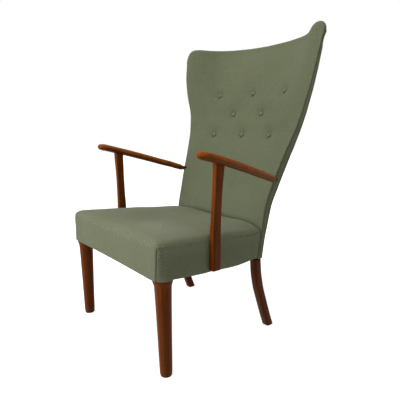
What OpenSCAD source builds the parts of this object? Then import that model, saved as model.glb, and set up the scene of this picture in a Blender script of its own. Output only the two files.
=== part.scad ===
// High-backed fireside chair with a tilted upholstered seat, a buttoned wing back,
// turned front legs, curved rear legs and open sloping wooden arms.
// Millimetres, +Z up, the sitter looks along -Y, +X is the sitter's left.
// Depths are measured from the lower front edge of the seat and then centred.

/* [Overall] */
// Height from the floor to the highest point of the wings
overall_h = 1075; // [1040:1:1110]
// Width across the two wings at the top
overall_w = 734; // [690:1:780]
// Depth from the lower front edge of the seat to the top edge of the back
back_reach = 767; // [740:1:790]

/* [Seat] */
// Height of the lower front edge of the seat
seat_under_h = 303; // [292:1:312]
// Greatest width of the seat cover
seat_w = 578; // [560:1:590]
// Length of the seat cover along its sides
seat_d = 449; // [440:1:450]
// Height of the seat box at its edges
seat_box_h = 102; // [96:1:106]
// Slope of the seat down to the rear in degrees
seat_tilt = 3.65; // [3:0.05:4.2]
// Rise of the middle of the seat above its edges
seat_crown = 22; // [14:1:28]
// Width of the rounded edge around the top of the seat
seat_edge_r = 24; // [18:1:30]
// Thickness of the covering cloth with its lining
cloth_t = 3; // [2.4:0.1:3.2]
// Height of the wooden seat rails
rail_h = 64; // [58:1:66]
// Thickness of the wooden seat rails
rail_t = 24; // [20:1:26]
// Side of the square head of each front leg
leg_head = 43; // [38:1:46]

/* [Back] */
// Thickness of the back at its middle
back_t = 64; // [62:1:68]
// Distance that the wings reach forward of the middle at the top
wing_reach = 121; // [105:1:130]
// Depth of the wooden frame of the back
back_frame_t = 22; // [20:1:24]
// Depth of each sewn tuft
tuft_depth = 9; // [6:0.5:10]
// Reach of each sewn tuft around its button
tuft_r = 32; // [28:1:40]
// Diameter of the covered buttons
button_d = 17; // [14:0.5:18]
// Width of the webbing straps
strap_w = 46; // [40:1:50]

/* [Arms and legs] */
// Greatest width of each arm
arm_w = 44; // [38:1:46]
// Thickness of each arm
arm_t = 23; // [20:1:25]
// Width of each arm post seen from the front
post_w = 20; // [18:1:22]
// Depth of each arm post seen from the side
post_d = 30; // [26:1:32]
// Diameter of the front legs below the flare
leg_d = 47.5; // [44:0.5:50]
// Diameter of the flare at the top of the front legs
leg_flare_d = 57; // [54:0.5:58]
// Width of the rear legs seen from behind
rear_leg_w = 28; // [25:0.5:29]
// Depth of the rear legs seen from the side
rear_leg_d = 28; // [25:0.5:29]

/* [Fasteners] */
// Diameter of the dowels in the frame joints
dowel_d = 10; // [8:0.5:11]
// Length of the dowels in the frame joints
dowel_l = 44; // [38:1:48]
// Diameter of the screws that hold the arm posts
screw_d = 5; // [4:0.5:5.5]
// Diameter of the wooden plugs over those screws
plug_d = 10; // [9:0.5:11]
// Diameter of the tack shanks
tack_d = 2; // [1.5:0.1:2.2]

/* [Hidden] */
$fn = 48;
half_w = overall_w / 2;
gap = 0.4;
fit_gap = 0.15;
overrun = 1;
web_t = 1.8;
sheet_t = 1;
stile_w = 24;
leg_in = 19;
leg_x = seat_w / 2 - leg_in;
leg_y = 33;
leg_splay = 4.5;
leg_drop = 4.4;
leg_h = seat_under_h - leg_drop;
post_sink = 1.6;
post_x = seat_w / 2 + post_w / 2 - post_sink;
post_y_share = 0.4588;
post_y = post_y_share * seat_d;
post_foot_h = seat_under_h - 0.55 * post_w;
arm_slope = 0.27;
corner_r = 15;
roll_h = 10;
// Shares of the whole height and depth where the seat ends, and of the width at the waist
seat_up_share = 0.28186;
seat_deep_share = 0.5854;
waist_share = 0.684;
// Half width that the narrow foot of the back is a share of, which follows the seat
foot_half_w = seat_w / 2 * 1.2699;
stile_side = 0.6752 * foot_half_w;
stile_mid = stile_side - stile_w / 2;

// Back edge: height, half width, depth, border, hollow, curve power, middle thickness
edge_shares = [
    [0.247, 0.690, 0.574, 0.375, 0.082, 1.6, 0.38],
    [0.307, 0.687, 0.586, 0.406, 0.099, 1.6, 0.53],
    [0.350, 0.684, 0.595, 0.438, 0.124, 1.6, 0.72],
    [0.419, 0.684, 0.613, 0.516, 0.231, 1.7, 0.91],
    [0.484, 0.706, 0.640, 0.594, 0.289, 1.9, 0.97],
    [0.549, 0.733, 0.671, 0.672, 0.306, 2.1, 1.00],
    [0.614, 0.768, 0.705, 0.625, 0.306, 2.3, 0.97],
    [0.679, 0.815, 0.736, 0.500, 0.322, 2.5, 0.94],
    [0.744, 0.861, 0.752, 0.453, 0.446, 2.8, 0.89],
    [0.809, 0.921, 0.754, 0.391, 0.645, 3.2, 0.83],
    [0.874, 0.962, 0.762, 0.328, 0.810, 3.5, 0.73],
    [0.930, 0.984, 0.778, 0.234, 0.901, 3.7, 0.63],
    [0.986, 1.000, 0.802, 0.125, 1.000, 3.9, 0.47]];
// Top edge: share of the half width, share of the height, share of the hollow
top_shares = [
    [0.00, 0.9833, 1.00], [0.27, 0.9860, 1.01], [0.49, 0.9905, 0.98],
    [0.63, 0.9916, 0.66], [0.72, 0.9926, 0.40], [0.80, 0.9963, 0.18],
    [0.87, 1.0000, 0.05], [0.93, 0.9986, -0.03], [0.967, 0.9926, -0.06],
    [1.00, 0.9815, 0.00]];
// How far the plan of each height takes the plan of the top edge
blend_shares = [[0.744, 0], [0.809, 0.25], [0.874, 0.5], [0.930, 0.75], [0.983, 1]];
// Columns of the cloth forms as shares of the half width, from the middle out
column_shares = [0, 0.09, 0.17, 0.252, 0.35, 0.44, 0.536, 0.63, 0.73, 0.83, 0.91, 0.965, 1];
// Rows of the front cover as shares of the overall height
row_shares = [0.346, 0.382, 0.419, 0.452, 0.484, 0.516, 0.549, 0.582, 0.614, 0.651, 0.688,
    0.7265, 0.766, 0.804, 0.839, 0.874, 0.904, 0.930];
rear_row_shares = [0.247, 0.307, 0.350, 0.419, 0.484, 0.549, 0.614, 0.679, 0.744,
    0.809, 0.874, 0.930];
// Buttons: places across and up the back
button_shares = [[0, 0.804], [0.536, 0.804], [-0.536, 0.804], [0.252, 0.7265],
    [-0.252, 0.7265], [0, 0.651], [0.536, 0.651], [-0.536, 0.651]];
// Half width of the seat along its depth
seat_half_shares = [[0, 0.985], [0.06, 0.998], [0.22, 1], [0.44, 0.99], [0.56, 0.972],
    [0.67, 0.953], [0.78, 0.930], [0.90, 0.901], [1, 0.878]];
// Arm: across, back and up, then width and thickness, from the nose to the rear end
arm_shares = [
    [0.8665, 0.1600, 0.6079, 0.20, 0.30], [0.8665, 0.1640, 0.6074, 0.55, 0.62],
    [0.8650, 0.1735, 0.6063, 0.82, 0.86], [0.8640, 0.1910, 0.6046, 0.98, 1.00],
    [0.8630, 0.2110, 0.6014, 0.98, 1.00], [0.8610, 0.2560, 0.5935, 0.90, 1.00],
    [0.8450, 0.3210, 0.5814, 0.82, 1.00], [0.8230, 0.3865, 0.5684, 0.78, 1.00],
    [0.8010, 0.4520, 0.5553, 0.74, 1.00], [0.7760, 0.5170, 0.5414, 0.72, 1.00],
    [0.7550, 0.5690, 0.5312, 0.70, 0.98], [0.7400, 0.6100, 0.5219, 0.68, 0.94],
    [0.7350, 0.6300, 0.5177, 0.60, 0.80], [0.7330, 0.6390, 0.5158, 0.32, 0.42]];
// Arm post from the arm down: height, distance outwards, size
post_shares = [[0.903, 0.815, 1], [0.843, 0.80, 1], [0.76, 0.62, 1], [0.62, 0.40, 0.98],
    [0.44, 0.16, 0.98], [0.33, 0.02, 1], [0.16, 0, 1], [0.012, 0, 1], [0, 0, 0.9]];
post_flare = 15.5;
// Post of the back from the top down: height, place in the thickness, depth of section
post_curve_shares = [
    [0.8400, 0.3327, 0.36], [0.8093, 0.4536, 0.36], [0.7440, 0.4139, 0.38],
    [0.6790, 0.4067, 0.39], [0.6140, 0.4021, 0.39], [0.5490, 0.4042, 0.39],
    [0.4840, 0.2795, 0.38], [0.4190, 0.2555, 0.34], [0.3500, 0.2173, 0.33],
    [0.2790, 0.1450, 0.41], [0.2475, 0.0336, 0.47]];
// Rear leg under it: height, depth, width, depth of section
leg_curve_shares = [
    [0.243, 0.578, 1, 0.5], [0.212, 0.5825, 1, 0.5], [0.157, 0.5975, 1, 0.5],
    [0.0986, 0.624, 1, 0.49], [0.0288, 0.659, 1, 0.48], [0.003, 0.674, 1, 0.48],
    [0, 0.675, 0.86, 0.42]];
// Front leg profile: height and radius as shares of the leg
leg_profile_shares = [[0.007, 0.70], [0.05, 0.75], [0.373, 0.836], [0.737, 0.943],
    [0.89, 1]];

// The lower front edge of the seat is at zero, so this is half of the whole depth
half_d = max([for (r = front_rows()) for (p = r) p[1]]) / 2;

// Surfaces of the back

// Height and depth at a share of the whole: up to the seat they follow the seat
function up(f) = f < seat_up_share ? f / seat_up_share * seat_under_h
    : seat_under_h + (f - seat_up_share) / (1 - seat_up_share) * (overall_h - seat_under_h);
function share_at(z) = z < seat_under_h ? z / seat_under_h * seat_up_share
    : seat_up_share + (z - seat_under_h) / (overall_h - seat_under_h) * (1 - seat_up_share);
function deep(f) = f < seat_deep_share ? f / seat_deep_share * seat_d
    : seat_d + (f - seat_deep_share) / (1 - seat_deep_share) * (back_reach - seat_d);
function edge_at(z, col) = lookup(share_at(z), [for (r = edge_shares) [r[0], r[col]]]);
function edge_x(z) = let (f = edge_at(z, 1), k = max(0, (f - waist_share) / (1 - waist_share)))
    f * (k * half_w + (1 - k) * foot_half_w);
function out_share(x, z) = min(1, abs(x) / edge_x(z));
function top_at(u, col) = lookup(u, [for (r = top_shares) [r[0], r[col]]]);
function hollow_share(u, z) = let (b = lookup(share_at(z), blend_shares))
    (1 - b) * (1 - pow(u, edge_at(z, 5))) + b * top_at(u, 2);
function reach(p, q) = exp(-pow(norm(p - q) / tuft_r, 2));
function button_place(b) = [b[0] * edge_x(up(b[1])), up(b[1])];
function tuft(x, z) = tuft_depth * max([for (b = button_shares) reach([x, z], button_place(b))]);
function plain_y(x, z) = deep(edge_at(z, 2))
    + edge_at(z, 4) * wing_reach * hollow_share(out_share(x, z), z);
function front_y(x, z) = plain_y(x, z) + tuft(x, z);
function full_t(x, z) = let (u = out_share(x, z), t = edge_at(z, 3), m = edge_at(z, 6))
    back_t * (t + (m - t) * (1 - pow(u, 6)));
function rear_y(x, z) = plain_y(x, z) + full_t(x, z);
// Front of the frame, with the padding, hessian and webbing before it
function frame_y(x, z) = let (u = out_share(x, z), k = max(0, 1 - pow(u / 0.62, 4)))
    plain_y(x, z) + 4 * cloth_t
    + max(0, full_t(x, z) - 4 * cloth_t - cloth_t - back_frame_t - 2 * gap) * k;
function top_z(u) = up(top_at(u, 1));

// Helpers

function flat(rows) = [for (r = rows) for (p = r) p];
function mirror_list(v) = concat([for (i = [len(v) - 1 : -1 : 1]) -v[i]], v);
function centre(ring) = [for (k = [0 : 2])
    (min([for (p = ring) p[k]]) + max([for (p = ring) p[k]])) / 2];
function pow_sign(v, e) = sign(v) * pow(abs(v), e);

// A solid between two grids of points; the first grid faces -Y
module slab(front, rear) {
    n = len(front[0]);
    m = len(front);
    k = n * m;
    cells = [for (r = [0 : m - 2]) for (c = [0 : n - 2]) r * n + c];
    rim_low = [for (c = [0 : n - 2]) [c, c + 1]];
    rim_high = [for (c = [0 : n - 2]) [(m - 1) * n + c + 1, (m - 1) * n + c]];
    rim_left = [for (r = [0 : m - 2]) [(r + 1) * n, r * n]];
    rim_right = [for (r = [0 : m - 2]) [r * n + n - 1, (r + 1) * n + n - 1]];
    rim = concat(rim_low, rim_high, rim_left, rim_right);
    polyhedron(points = concat(flat(front), flat(rear)), faces = concat(
        [for (a = cells) [a, a + n, a + n + 1]],
        [for (a = cells) [a, a + n + 1, a + 1]],
        [for (a = cells) [a + k, a + n + 1 + k, a + n + k]],
        [for (a = cells) [a + k, a + 1 + k, a + n + 1 + k]],
        [for (e = rim) [e[0], e[1], e[1] + k]],
        [for (e = rim) [e[0], e[1] + k, e[0] + k]]));
}

// A solid through rings of points, each counterclockwise seen from the first ring's side
module loft(rings) {
    n = len(rings[0]);
    m = len(rings);
    polyhedron(points = concat(flat(rings), [centre(rings[0]), centre(rings[m - 1])]),
        faces = concat(
        [for (r = [0 : m - 2]) for (i = [0 : n - 1])
            [r * n + i, r * n + (i + 1) % n, (r + 1) * n + (i + 1) % n]],
        [for (r = [0 : m - 2]) for (i = [0 : n - 1])
            [r * n + i, (r + 1) * n + (i + 1) % n, (r + 1) * n + i]],
        [for (i = [0 : n - 1]) [n * m, (i + 1) % n, i]],
        [for (i = [0 : n - 1]) [n * m + 1, (m - 1) * n + i, (m - 1) * n + (i + 1) % n]]));
}

// Ring in a level plane that can slope with its depth
function level_ring(x, y, z, a, b, slope, e) = [for (i = [0 : 15]) let (w = 360 * i / 16)
    [x + a * pow_sign(cos(w), e), y + b * pow_sign(sin(w), e),
    z - slope * b * pow_sign(sin(w), e)]];
function upright_ring(x, y, z, a, b, e) = [for (i = [0 : 19]) let (w = 360 * i / 20)
    [x + a * pow_sign(cos(w), e), y, z + b * pow_sign(sin(w), e)]];

module centred() {
    translate([0, -half_d, 0]) children();
}

// The seat frame leans to the rear about its lower front edge
module seat_place() {
    centred() translate([0, 0, seat_under_h]) rotate([-seat_tilt, 0, 0]) children();
}

module both_sides() {
    children();
    mirror([1, 0, 0]) children();
}

// Seat cover and padding

function seat_half(s) = seat_w / 2 * lookup(s / seat_d, seat_half_shares);
seat_mid = seat_d / 2;
rear_bow = 14;
seat_head = seat_half(0) - corner_r;
side_steps_share = [0.10, 0.20, 0.31, 0.42, 0.53, 0.64, 0.75, 0.86, 0.95];
front_steps_share = [0, 0.35, 0.7, 1];
rear_steps_share = [0.94, 0.66, 0.33, 0];
function seat_outline_half() = concat(
    [for (f = front_steps_share) [f * seat_head, 0]],
    [for (w = [-60, -30, 0]) [seat_head + corner_r * cos(w), corner_r * (1 + sin(w))]],
    [for (s = side_steps_share) [seat_half(s * seat_d), s * seat_d]],
    [[seat_half(seat_d), seat_d - rail_t / 8]],
    [for (f = rear_steps_share) [f * seat_half(seat_d), seat_d + rear_bow * (1 - f * f)]]);
function mirrored(v) = concat(v, [for (i = [len(v) - 2 : -1 : 1]) [-v[i][0], v[i][1]]]);
function rear_part(s) = max(0, (s - seat_mid) / seat_mid);
function lean(s, h) = -seat_d * 0.02 * (1 - h / seat_box_h) * pow(rear_part(s), 4);
function inset_ring(in, h, low) = [for (p = mirrored(seat_outline_half()))
    let (x = p[0] * (1 - in / (seat_w / 2)), s = seat_mid + (p[1] - seat_mid) * (1 - in / seat_mid))
    let (hh = p[1] > seat_d ? max(h, low) : h)
    [x, s + lean(s, hh), hh]];
function scaled_ring(k, top, crown) = [for (p = mirrored(seat_outline_half()))
    [p[0] * k, seat_mid + (p[1] - seat_mid) * k, top + crown * (1 - pow(k, 2.5))]];
edge_in_shares = [1, 0.55, 0.25, 0.06, 0];
edge_drop_shares = [0, 0.10, 0.32, 0.64, 1];
crown_steps_share = [0.06, 0.28, 0.48, 0.66, 0.80];
edge_keep = 1 - seat_edge_r / seat_mid;
edge_rise = seat_crown * (1 - pow(edge_keep, 2.5));
function shell_rings(off, top) = concat(
    [for (k = crown_steps_share) scaled_ring(k, top, seat_crown)],
    [for (i = [0 : 4]) inset_ring(off + edge_in_shares[i] * (seat_edge_r - off),
        top + edge_rise * (1 - edge_drop_shares[i])
            - seat_edge_r * edge_drop_shares[i], 0)]);
rear_skirt_h = rail_h + 4 * cloth_t;
function skirt_rings(off, steps) = [for (h = steps) inset_ring(off, h, rear_skirt_h)];
function turned(rings) = [for (i = [len(rings) - 1 : -1 : 0]) rings[i]];

module seat_cover() color("darkseagreen") difference() {
    seat_place() loft(concat(
        shell_rings(0, seat_box_h),
        skirt_rings(0, [seat_box_h * 0.45, 0]),
        skirt_rings(cloth_t, [0, seat_box_h * 0.45]),
        turned(shell_rings(cloth_t, seat_box_h - cloth_t))));
    both_sides() post_screw_axes() cylinder(h = post_w + rail_t, d = screw_d + 2 * gap);
}

pad_foot = cloth_t + rail_h + 2 * web_t + sheet_t + 5 * gap;
module seat_padding() color("khaki") seat_place() loft(concat(
    shell_rings(cloth_t + gap, seat_box_h - cloth_t - gap),
    [inset_ring(cloth_t + gap, pad_foot, pad_foot)]));

// Seat frame, all in the leaning frame of the seat

rail_foot = cloth_t;
rail_out = 1.6 * cloth_t;
rail_rear = seat_d * 0.966;
rear_rail_y = seat_d * 0.986;
head_front = 3 * cloth_t;
head_side = seat_half(leg_y) - rail_out - 2 * cloth_t;
side_rail_front = head_front + leg_head + gap;
stile_in = stile_side - stile_w;

module seat_front_rail() color("burlywood") difference() {
    seat_place() translate([-head_side + leg_head + gap, rail_out, rail_foot])
        cube([2 * (head_side - leg_head - gap), rail_t, rail_h]);
    seat_dowel_sites() dowel(fit_gap);
}

module seat_rear_rail() color("burlywood") difference() {
    seat_place() translate([-stile_in + gap, rear_rail_y, rail_foot])
        cube([2 * (stile_in - gap), rail_t * 0.8, rail_h * 0.9]);
    seat_dowel_sites() dowel(fit_gap);
    block_screw_sites() cylinder(h = block_screw_l, d = screw_d, center = true);
}

module side_rail() difference() {
    seat_place() translate([0, 0, rail_foot]) linear_extrude(rail_h) polygon(concat(
        [for (s = rail_steps()) [seat_half(s) - rail_out, s]],
        [for (s = turned(rail_steps())) [seat_half(s) - rail_out - rail_t, s]]));
    seat_dowel_sites() dowel(fit_gap);
    post_screw_axes() cylinder(h = post_w + rail_t, d = screw_d);
    block_screw_sites() cylinder(h = block_screw_l, d = screw_d, center = true);
}
function rail_steps() = concat([side_rail_front],
    [for (f = [0.22, 0.44, 0.56, 0.67, 0.78, 0.90]) f * seat_d], [rail_rear]);

module seat_side_rail_left() color("burlywood") side_rail();
module seat_side_rail_right() color("burlywood") mirror([1, 0, 0]) side_rail();

block_side = 56;
block_screw_l = 48;
module corner_block() translate([rear_inner - gap, rear_rail_y - gap, rail_foot + rail_h / 3])
    linear_extrude(rail_h / 3) polygon([[0, 0], [-block_side, 0], [0, -block_side]]);
rear_inner = seat_half(rail_rear) - rail_out - rail_t;

module seat_corner_blocks() color("tan") difference() {
    both_sides() seat_place() corner_block();
    block_screw_sites() cylinder(h = block_screw_l, d = screw_d, center = true);
}

// One screw runs into the rear rail and one into the side rail from each block
module block_screw_sites() both_sides() seat_place()
    translate([rear_inner, rear_rail_y, rail_foot + rail_h / 2]) {
        translate([-block_side * 0.55, 0, 0]) rotate([90, 0, 0]) children();
        translate([0, -block_side * 0.55, 0]) rotate([0, 90, 0]) children();
    }

module corner_block_screws() color("silver")
    block_screw_sites() block_screw();
module block_screw() translate([0, 0, -screw_d * 0.6])
    cylinder(h = rail_t, d = screw_d - 2 * fit_gap, center = true);

// Dowels of the seat frame: front rail to legs, legs to side rails, rails to rear legs
module dowel(extra, l = dowel_l)
    cylinder(h = l + 2 * extra, d = dowel_d + 2 * extra, center = true);
arm_dowel_l = dowel_l * 1.3;
module seat_dowel_sites() both_sides() seat_place()
    for (h = [rail_foot + rail_h * 0.28, rail_foot + rail_h * 0.72]) {
        translate([head_side - leg_head, head_front + rail_t * 0.35, h])
            rotate([0, 90, 0]) children();
        translate([seat_half(side_rail_front) - rail_out - rail_t / 2, side_rail_front, h])
            rotate([90, 0, 0]) children();
    }
module seat_frame_dowels() color("wheat") seat_dowel_sites() dowel(0);

// Webbing, hessian and dust cover of the seat

web_foot = rail_foot + rail_h + gap;
module seat_webbing_cross() color("peru") seat_place() for (f = [0.2, 0.4, 0.6, 0.8])
    translate([-seat_half(f * seat_d) + rail_out + cloth_t, f * seat_d - strap_w / 2, web_foot])
        cube([2 * (seat_half(f * seat_d) - rail_out - cloth_t), strap_w, web_t]);
module seat_webbing_long() color("sienna") seat_place() for (f = [-0.62, -0.21, 0.21, 0.62])
    translate([f * seat_half(seat_d) - strap_w / 2, head_front + cloth_t, web_foot + web_t + gap])
        cube([strap_w, rear_rail_y + rail_t / 2 - head_front, web_t]);

module seat_webbing_tacks() color("dimgray") seat_place() both_sides()
    for (f = [0.2, 0.4, 0.6, 0.8]) for (k = [-0.3, 0.3])
        translate([seat_half(f * seat_d) - rail_out - rail_t / 2, f * seat_d + k * strap_w,
            web_foot + web_t + fit_gap]) cylinder(h = sheet_t, d = 3 * tack_d);

hessian_foot = web_foot + 2 * web_t + 2 * gap;
module seat_hessian() color("tan") seat_place() translate([0, 0, hessian_foot])
    linear_extrude(sheet_t) polygon(inner_plan(rail_out + cloth_t));
function inner_plan(in) = [for (p = mirrored(seat_outline_half()))
    [p[0] * (1 - in / (seat_w / 2)), seat_mid + (p[1] - seat_mid) * (1 - in / seat_mid)]];

dust_foot = cloth_t - sheet_t - gap;
dust_rear = seat_d * 0.94;
module dust_cover() color("black") difference() {
    seat_place() translate([0, 0, dust_foot]) linear_extrude(sheet_t) polygon(concat(
        [for (s = dust_steps()) [seat_half(s) - rail_out, s]], dust_tail(1), turned(dust_tail(-1)),
        [for (s = turned(dust_steps())) [-seat_half(s) + rail_out, s]]));
    both_sides() leg_place() cylinder(h = 2 * leg_h, d = leg_flare_d + 2 * cloth_t);
}
function dust_tail(side) = [for (s = [dust_rear, rear_rail_y + rail_t / 2])
    [side * (stile_in - gap), s]];
function dust_steps() = concat([head_front + 2 * cloth_t],
    [for (f = [0.22, 0.44, 0.56, 0.67, 0.78, 0.90]) f * seat_d], [dust_rear]);

module dust_cover_tacks() color("dimgray") seat_place() both_sides()
    for (f = [0.22, 0.34, 0.46, 0.58, 0.70, 0.82])
        translate([seat_half(f * seat_d) - rail_out - rail_t / 2, f * seat_d,
            dust_foot - sheet_t - fit_gap]) cylinder(h = sheet_t, d = 3 * tack_d);

// Front legs

module leg_place() centred() translate([leg_x + leg_splay, leg_y + leg_splay, 0])
    rotate([atan(leg_splay / leg_h), -atan(leg_splay / leg_h), 0]) children();

module turned_leg() rotate_extrude() polygon(concat(
    [[0, -overrun], [leg_profile_shares[0][1] * leg_d / 2 - leg_d / 24, -overrun],
        [leg_profile_shares[0][1] * leg_d / 2 - leg_d / 24, 0]],
    [for (p = leg_profile_shares) [p[1] * leg_d / 2, p[0] * leg_h]],
    [[(leg_d + leg_flare_d * 1.6) / 5.2, leg_h * 0.945], [leg_flare_d / 2, leg_h * 0.978],
        [leg_flare_d / 2, leg_h], [leg_head * 0.26, leg_h], [leg_head * 0.26, leg_h * 1.06],
        [0, leg_h * 1.06]]));

module leg_block() seat_place() translate([head_side - leg_head, head_front, rail_foot])
    cube([leg_head, leg_head, rail_h]);

module front_leg() difference() {
    union() {
        leg_place() turned_leg();
        leg_block();
    }
    translate([0, 0, -half_d]) cube([overall_w, 2 * back_reach, 2 * half_d], center = true);
    seat_dowel_sites() dowel(fit_gap);
}
module front_leg_left() color("saddlebrown") front_leg();
module front_leg_right() color("saddlebrown") mirror([1, 0, 0]) front_leg();

// Rear legs, which run on as the posts of the back

function post_mid_y(r) = plain_y(stile_mid, up(r[0])) + r[1] * back_t;
module rear_leg() difference() {
    centred() loft(concat(
        [for (r = post_curve_shares) let (z = up(r[0])) level_ring(stile_mid, post_mid_y(r), z,
            stile_w / 2, r[2] * rear_leg_d, 0, 0.45)],
        [for (r = leg_curve_shares) level_ring(stile_side - stile_w / 2 + rear_leg_w - stile_w,
            deep(r[1]), up(r[0]), stile_w / 2 + r[2] * (rear_leg_w - stile_w) / 2,
            r[3] * rear_leg_d, 0, 0.45)]));
    arm_rear_site() dowel(fit_gap, arm_dowel_l);
    wing_screw_sites() wing_screw(0);
}
module rear_leg_left() color("saddlebrown") rear_leg();
module rear_leg_right() color("saddlebrown") mirror([1, 0, 0]) rear_leg();

// Cloth of the back

function row_at(z, shares) = [for (u = mirror_list(shares)) [u * edge_x(z), front_y(u * edge_x(z), z), z]];
function roll_row(drop, back) = [for (u = mirror_list(column_shares))
    let (z = top_z(abs(u)) - drop, x = u * edge_x(z))
    [x, front_y(x, z) + back * full_t(x, z), z]];
function moved(row, y, z) = [for (p = row) p + [0, y, z]];
function front_rows() = concat([for (f = row_shares) row_at(up(f), column_shares)],
    [roll_row(roll_h, 0), roll_row(roll_h * 0.3, 0.12), roll_row(0, 0.4),
    roll_row(roll_h * 0.2, 0.75), roll_row(roll_h, 1)]);
function inner_rows() = concat(
    [for (f = row_shares) moved(row_at(up(f), column_shares), cloth_t, 0)],
    [moved(roll_row(roll_h, 0), cloth_t, 0),
    moved(roll_row(roll_h * 0.3, 0.12), cloth_t * 0.75, -cloth_t * 0.6),
    moved(roll_row(0, 0.4), 0, -cloth_t),
    moved(roll_row(roll_h * 0.2, 0.75), -cloth_t / 2, -cloth_t * 0.8),
    moved(roll_row(roll_h, 1), -cloth_t, 0)]);
module back_front_cover() color("darkseagreen") difference() {
    centred() slab(front_rows(), inner_rows());
    both_sides() arm_rear_site() dowel(gap, arm_dowel_l);
}

function rear_row(z, in) = [for (u = mirror_list(column_shares)) let (x = u * edge_x(z))
    [x, rear_y(x, z) - in, z]];
function rear_top_row(in) = [for (u = mirror_list(column_shares))
    let (z = top_z(abs(u)) - roll_h - gap, x = u * edge_x(z)) [x, rear_y(x, z) - in, z]];
module back_rear_cover() color("seagreen") centred() slab(
    concat([for (f = rear_row_shares) rear_row(up(f), cloth_t)], [rear_top_row(cloth_t)]),
    concat([for (f = rear_row_shares) rear_row(up(f), 0)], [rear_top_row(0)]));

border_row_shares = concat([0.247, 0.307, 0.3455], row_shares);
function border_front(x, z) = front_y(x, z) + (z < up(row_shares[0]) ? 0 : cloth_t + gap);
function border_row(z, back) = [for (in = [cloth_t * 0.9, 0]) let (x = edge_x(z) - in)
    [x, back ? rear_y(x, z) - cloth_t - 2 * gap : border_front(x, z), z]];
module side_border() difference() {
    centred() slab([for (f = border_row_shares) border_row(up(f), false)],
        [for (f = border_row_shares) border_row(up(f), true)]);
    arm_rear_site() dowel(gap, arm_dowel_l);
}
module back_side_border_left() color("olivedrab") side_border();
module back_side_border_right() color("olivedrab") mirror([1, 0, 0]) side_border();

// Inside of the back

// Share of the half width that the padding covers: narrow beside the posts
function pad_u(z) = lookup(share_at(z), [[0.50, 0.84], [0.55, 0.96], [0.93, 0.96], [0.97, 0.93]]);
web_gap = 2.5 * gap;
pad_in = cloth_t + 3 * gap;
pad_rear = web_t + sheet_t + web_gap + 4 * gap;
// Places on the columns of the covers, packed closely beyond a limit
function held(u, top) = sign(u) * min(abs(u), top - (1 - abs(u)) * 0.02);
function pad_row(z, back) = [for (c = mirror_list(pad_columns)) let (x = held(c, pad_u(z)) * edge_x(z))
    [x, back ? frame_y(x, z) - pad_rear : front_y(x, z) + pad_in, z]];
pad_columns = [for (i = [0 : 11]) column_shares[i]];
pad_top_share = 0.75;
function pad_top_row(back) = let (low = row_at(up(row_shares[17]), pad_columns),
    high = [for (u = mirror_list(pad_columns)) let (z = top_z(abs(u)) - roll_h, x = u * edge_x(z))
        [x, front_y(x, z), z]])
    [for (i = [0 : len(low) - 1]) let (p = low[i] * (1 - pad_top_share) + high[i] * pad_top_share)
        p + [0, pad_in + (back ? 0.7 * (full_t(p[0], p[2]) - 2 * pad_in) : 0), 0]];
pad_row_shares = concat([row_shares[0] + 0.004], [for (i = [1 : 17]) row_shares[i]]);
module back_padding() color("khaki") difference() {
    centred() slab(concat([for (f = pad_row_shares) pad_row(up(f), false)], [pad_top_row(false)]),
        concat([for (f = pad_row_shares) pad_row(up(f), true)], [pad_top_row(true)]));
    twine_bores();
}

hessian_columns = [for (i = [0 : 7]) column_shares[i]];
hessian_row_shares = concat([0.366], [for (i = [1 : 17]) row_shares[i]]);
function hessian_row(z, in) = [for (c = mirror_list(hessian_columns)) let (x = c * edge_x(z))
    [x, frame_y(x, z) - in, z]];
module back_hessian() color("tan") difference() {
    centred() slab(
        [for (f = hessian_row_shares) hessian_row(up(f), web_t + sheet_t + web_gap + 2 * gap)],
        [for (f = hessian_row_shares) hessian_row(up(f), web_t + web_gap + 2 * gap)]);
    twine_bores();
}
module twine_sites() button_sites() translate([tack_d * 1.5, 0, tack_d]) rotate([-90, 0, 0]) children();
module twine_bores() twine_sites() cylinder(h = back_t, d = tack_d + gap);

strap_shares = [-0.5, -0.14, 0.14, 0.5];
function strap_row(mid, z, in) = [for (k = [-0.5, 0, 0.5]) let (x = mid + k * strap_w * 0.8)
    [x, frame_y(x, z) - in, z]];
module back_webbing() color("sienna") centred() for (m = strap_shares)
    slab([for (f = hessian_row_shares) strap_row(m * stile_in, up(f), web_t + web_gap)],
        [for (f = hessian_row_shares) strap_row(m * stile_in, up(f), web_gap)]);

frame_back = 1.8 * cloth_t;
function member_row(z, in) = [for (c = mirror_list(hessian_columns))
    let (x = c / hessian_columns[7] * (stile_in - gap))
    [x, in < 0 ? rear_y(x, z) + in : frame_y(x, z) + in, z]];
module member(shares) centred() slab([for (f = shares) member_row(up(f), 0)],
    [for (f = shares) member_row(up(f), -frame_back)]);
module back_bottom_rail() color("burlywood") member([0.364, 0.382, 0.400]);
module back_top_rail() color("burlywood") member([0.900, 0.916, 0.930]);

// Each wing frame stands beside the post and runs on above it to the top rail
wing_shares = [[0.575, 1], [0.614, 1], [0.679, 1], [0.744, 1], [0.809, 1], [0.8415, 1],
    [0.846, 0], [0.874, 0], [0.904, 0], [0.930, 0]];
function wing_row(r, back) = let (z = up(r[0]), x0 = stile_in + r[1] * (stile_w + gap),
    x1 = 0.965 * edge_x(z)) [for (i = [0 : 4]) let (x = x0 + (x1 - x0) * i / 4)
    [x, back ? rear_y(x, z) - frame_back : frame_y(x, z), z]];
module wing_frame() difference() {
    centred() slab([for (r = wing_shares) wing_row(r, false)],
        [for (r = wing_shares) wing_row(r, true)]);
    wing_screw_sites() wing_screw(0);
}
module wing_frame_left() color("burlywood") wing_frame();
module wing_frame_right() color("burlywood") mirror([1, 0, 0]) wing_frame();

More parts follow.
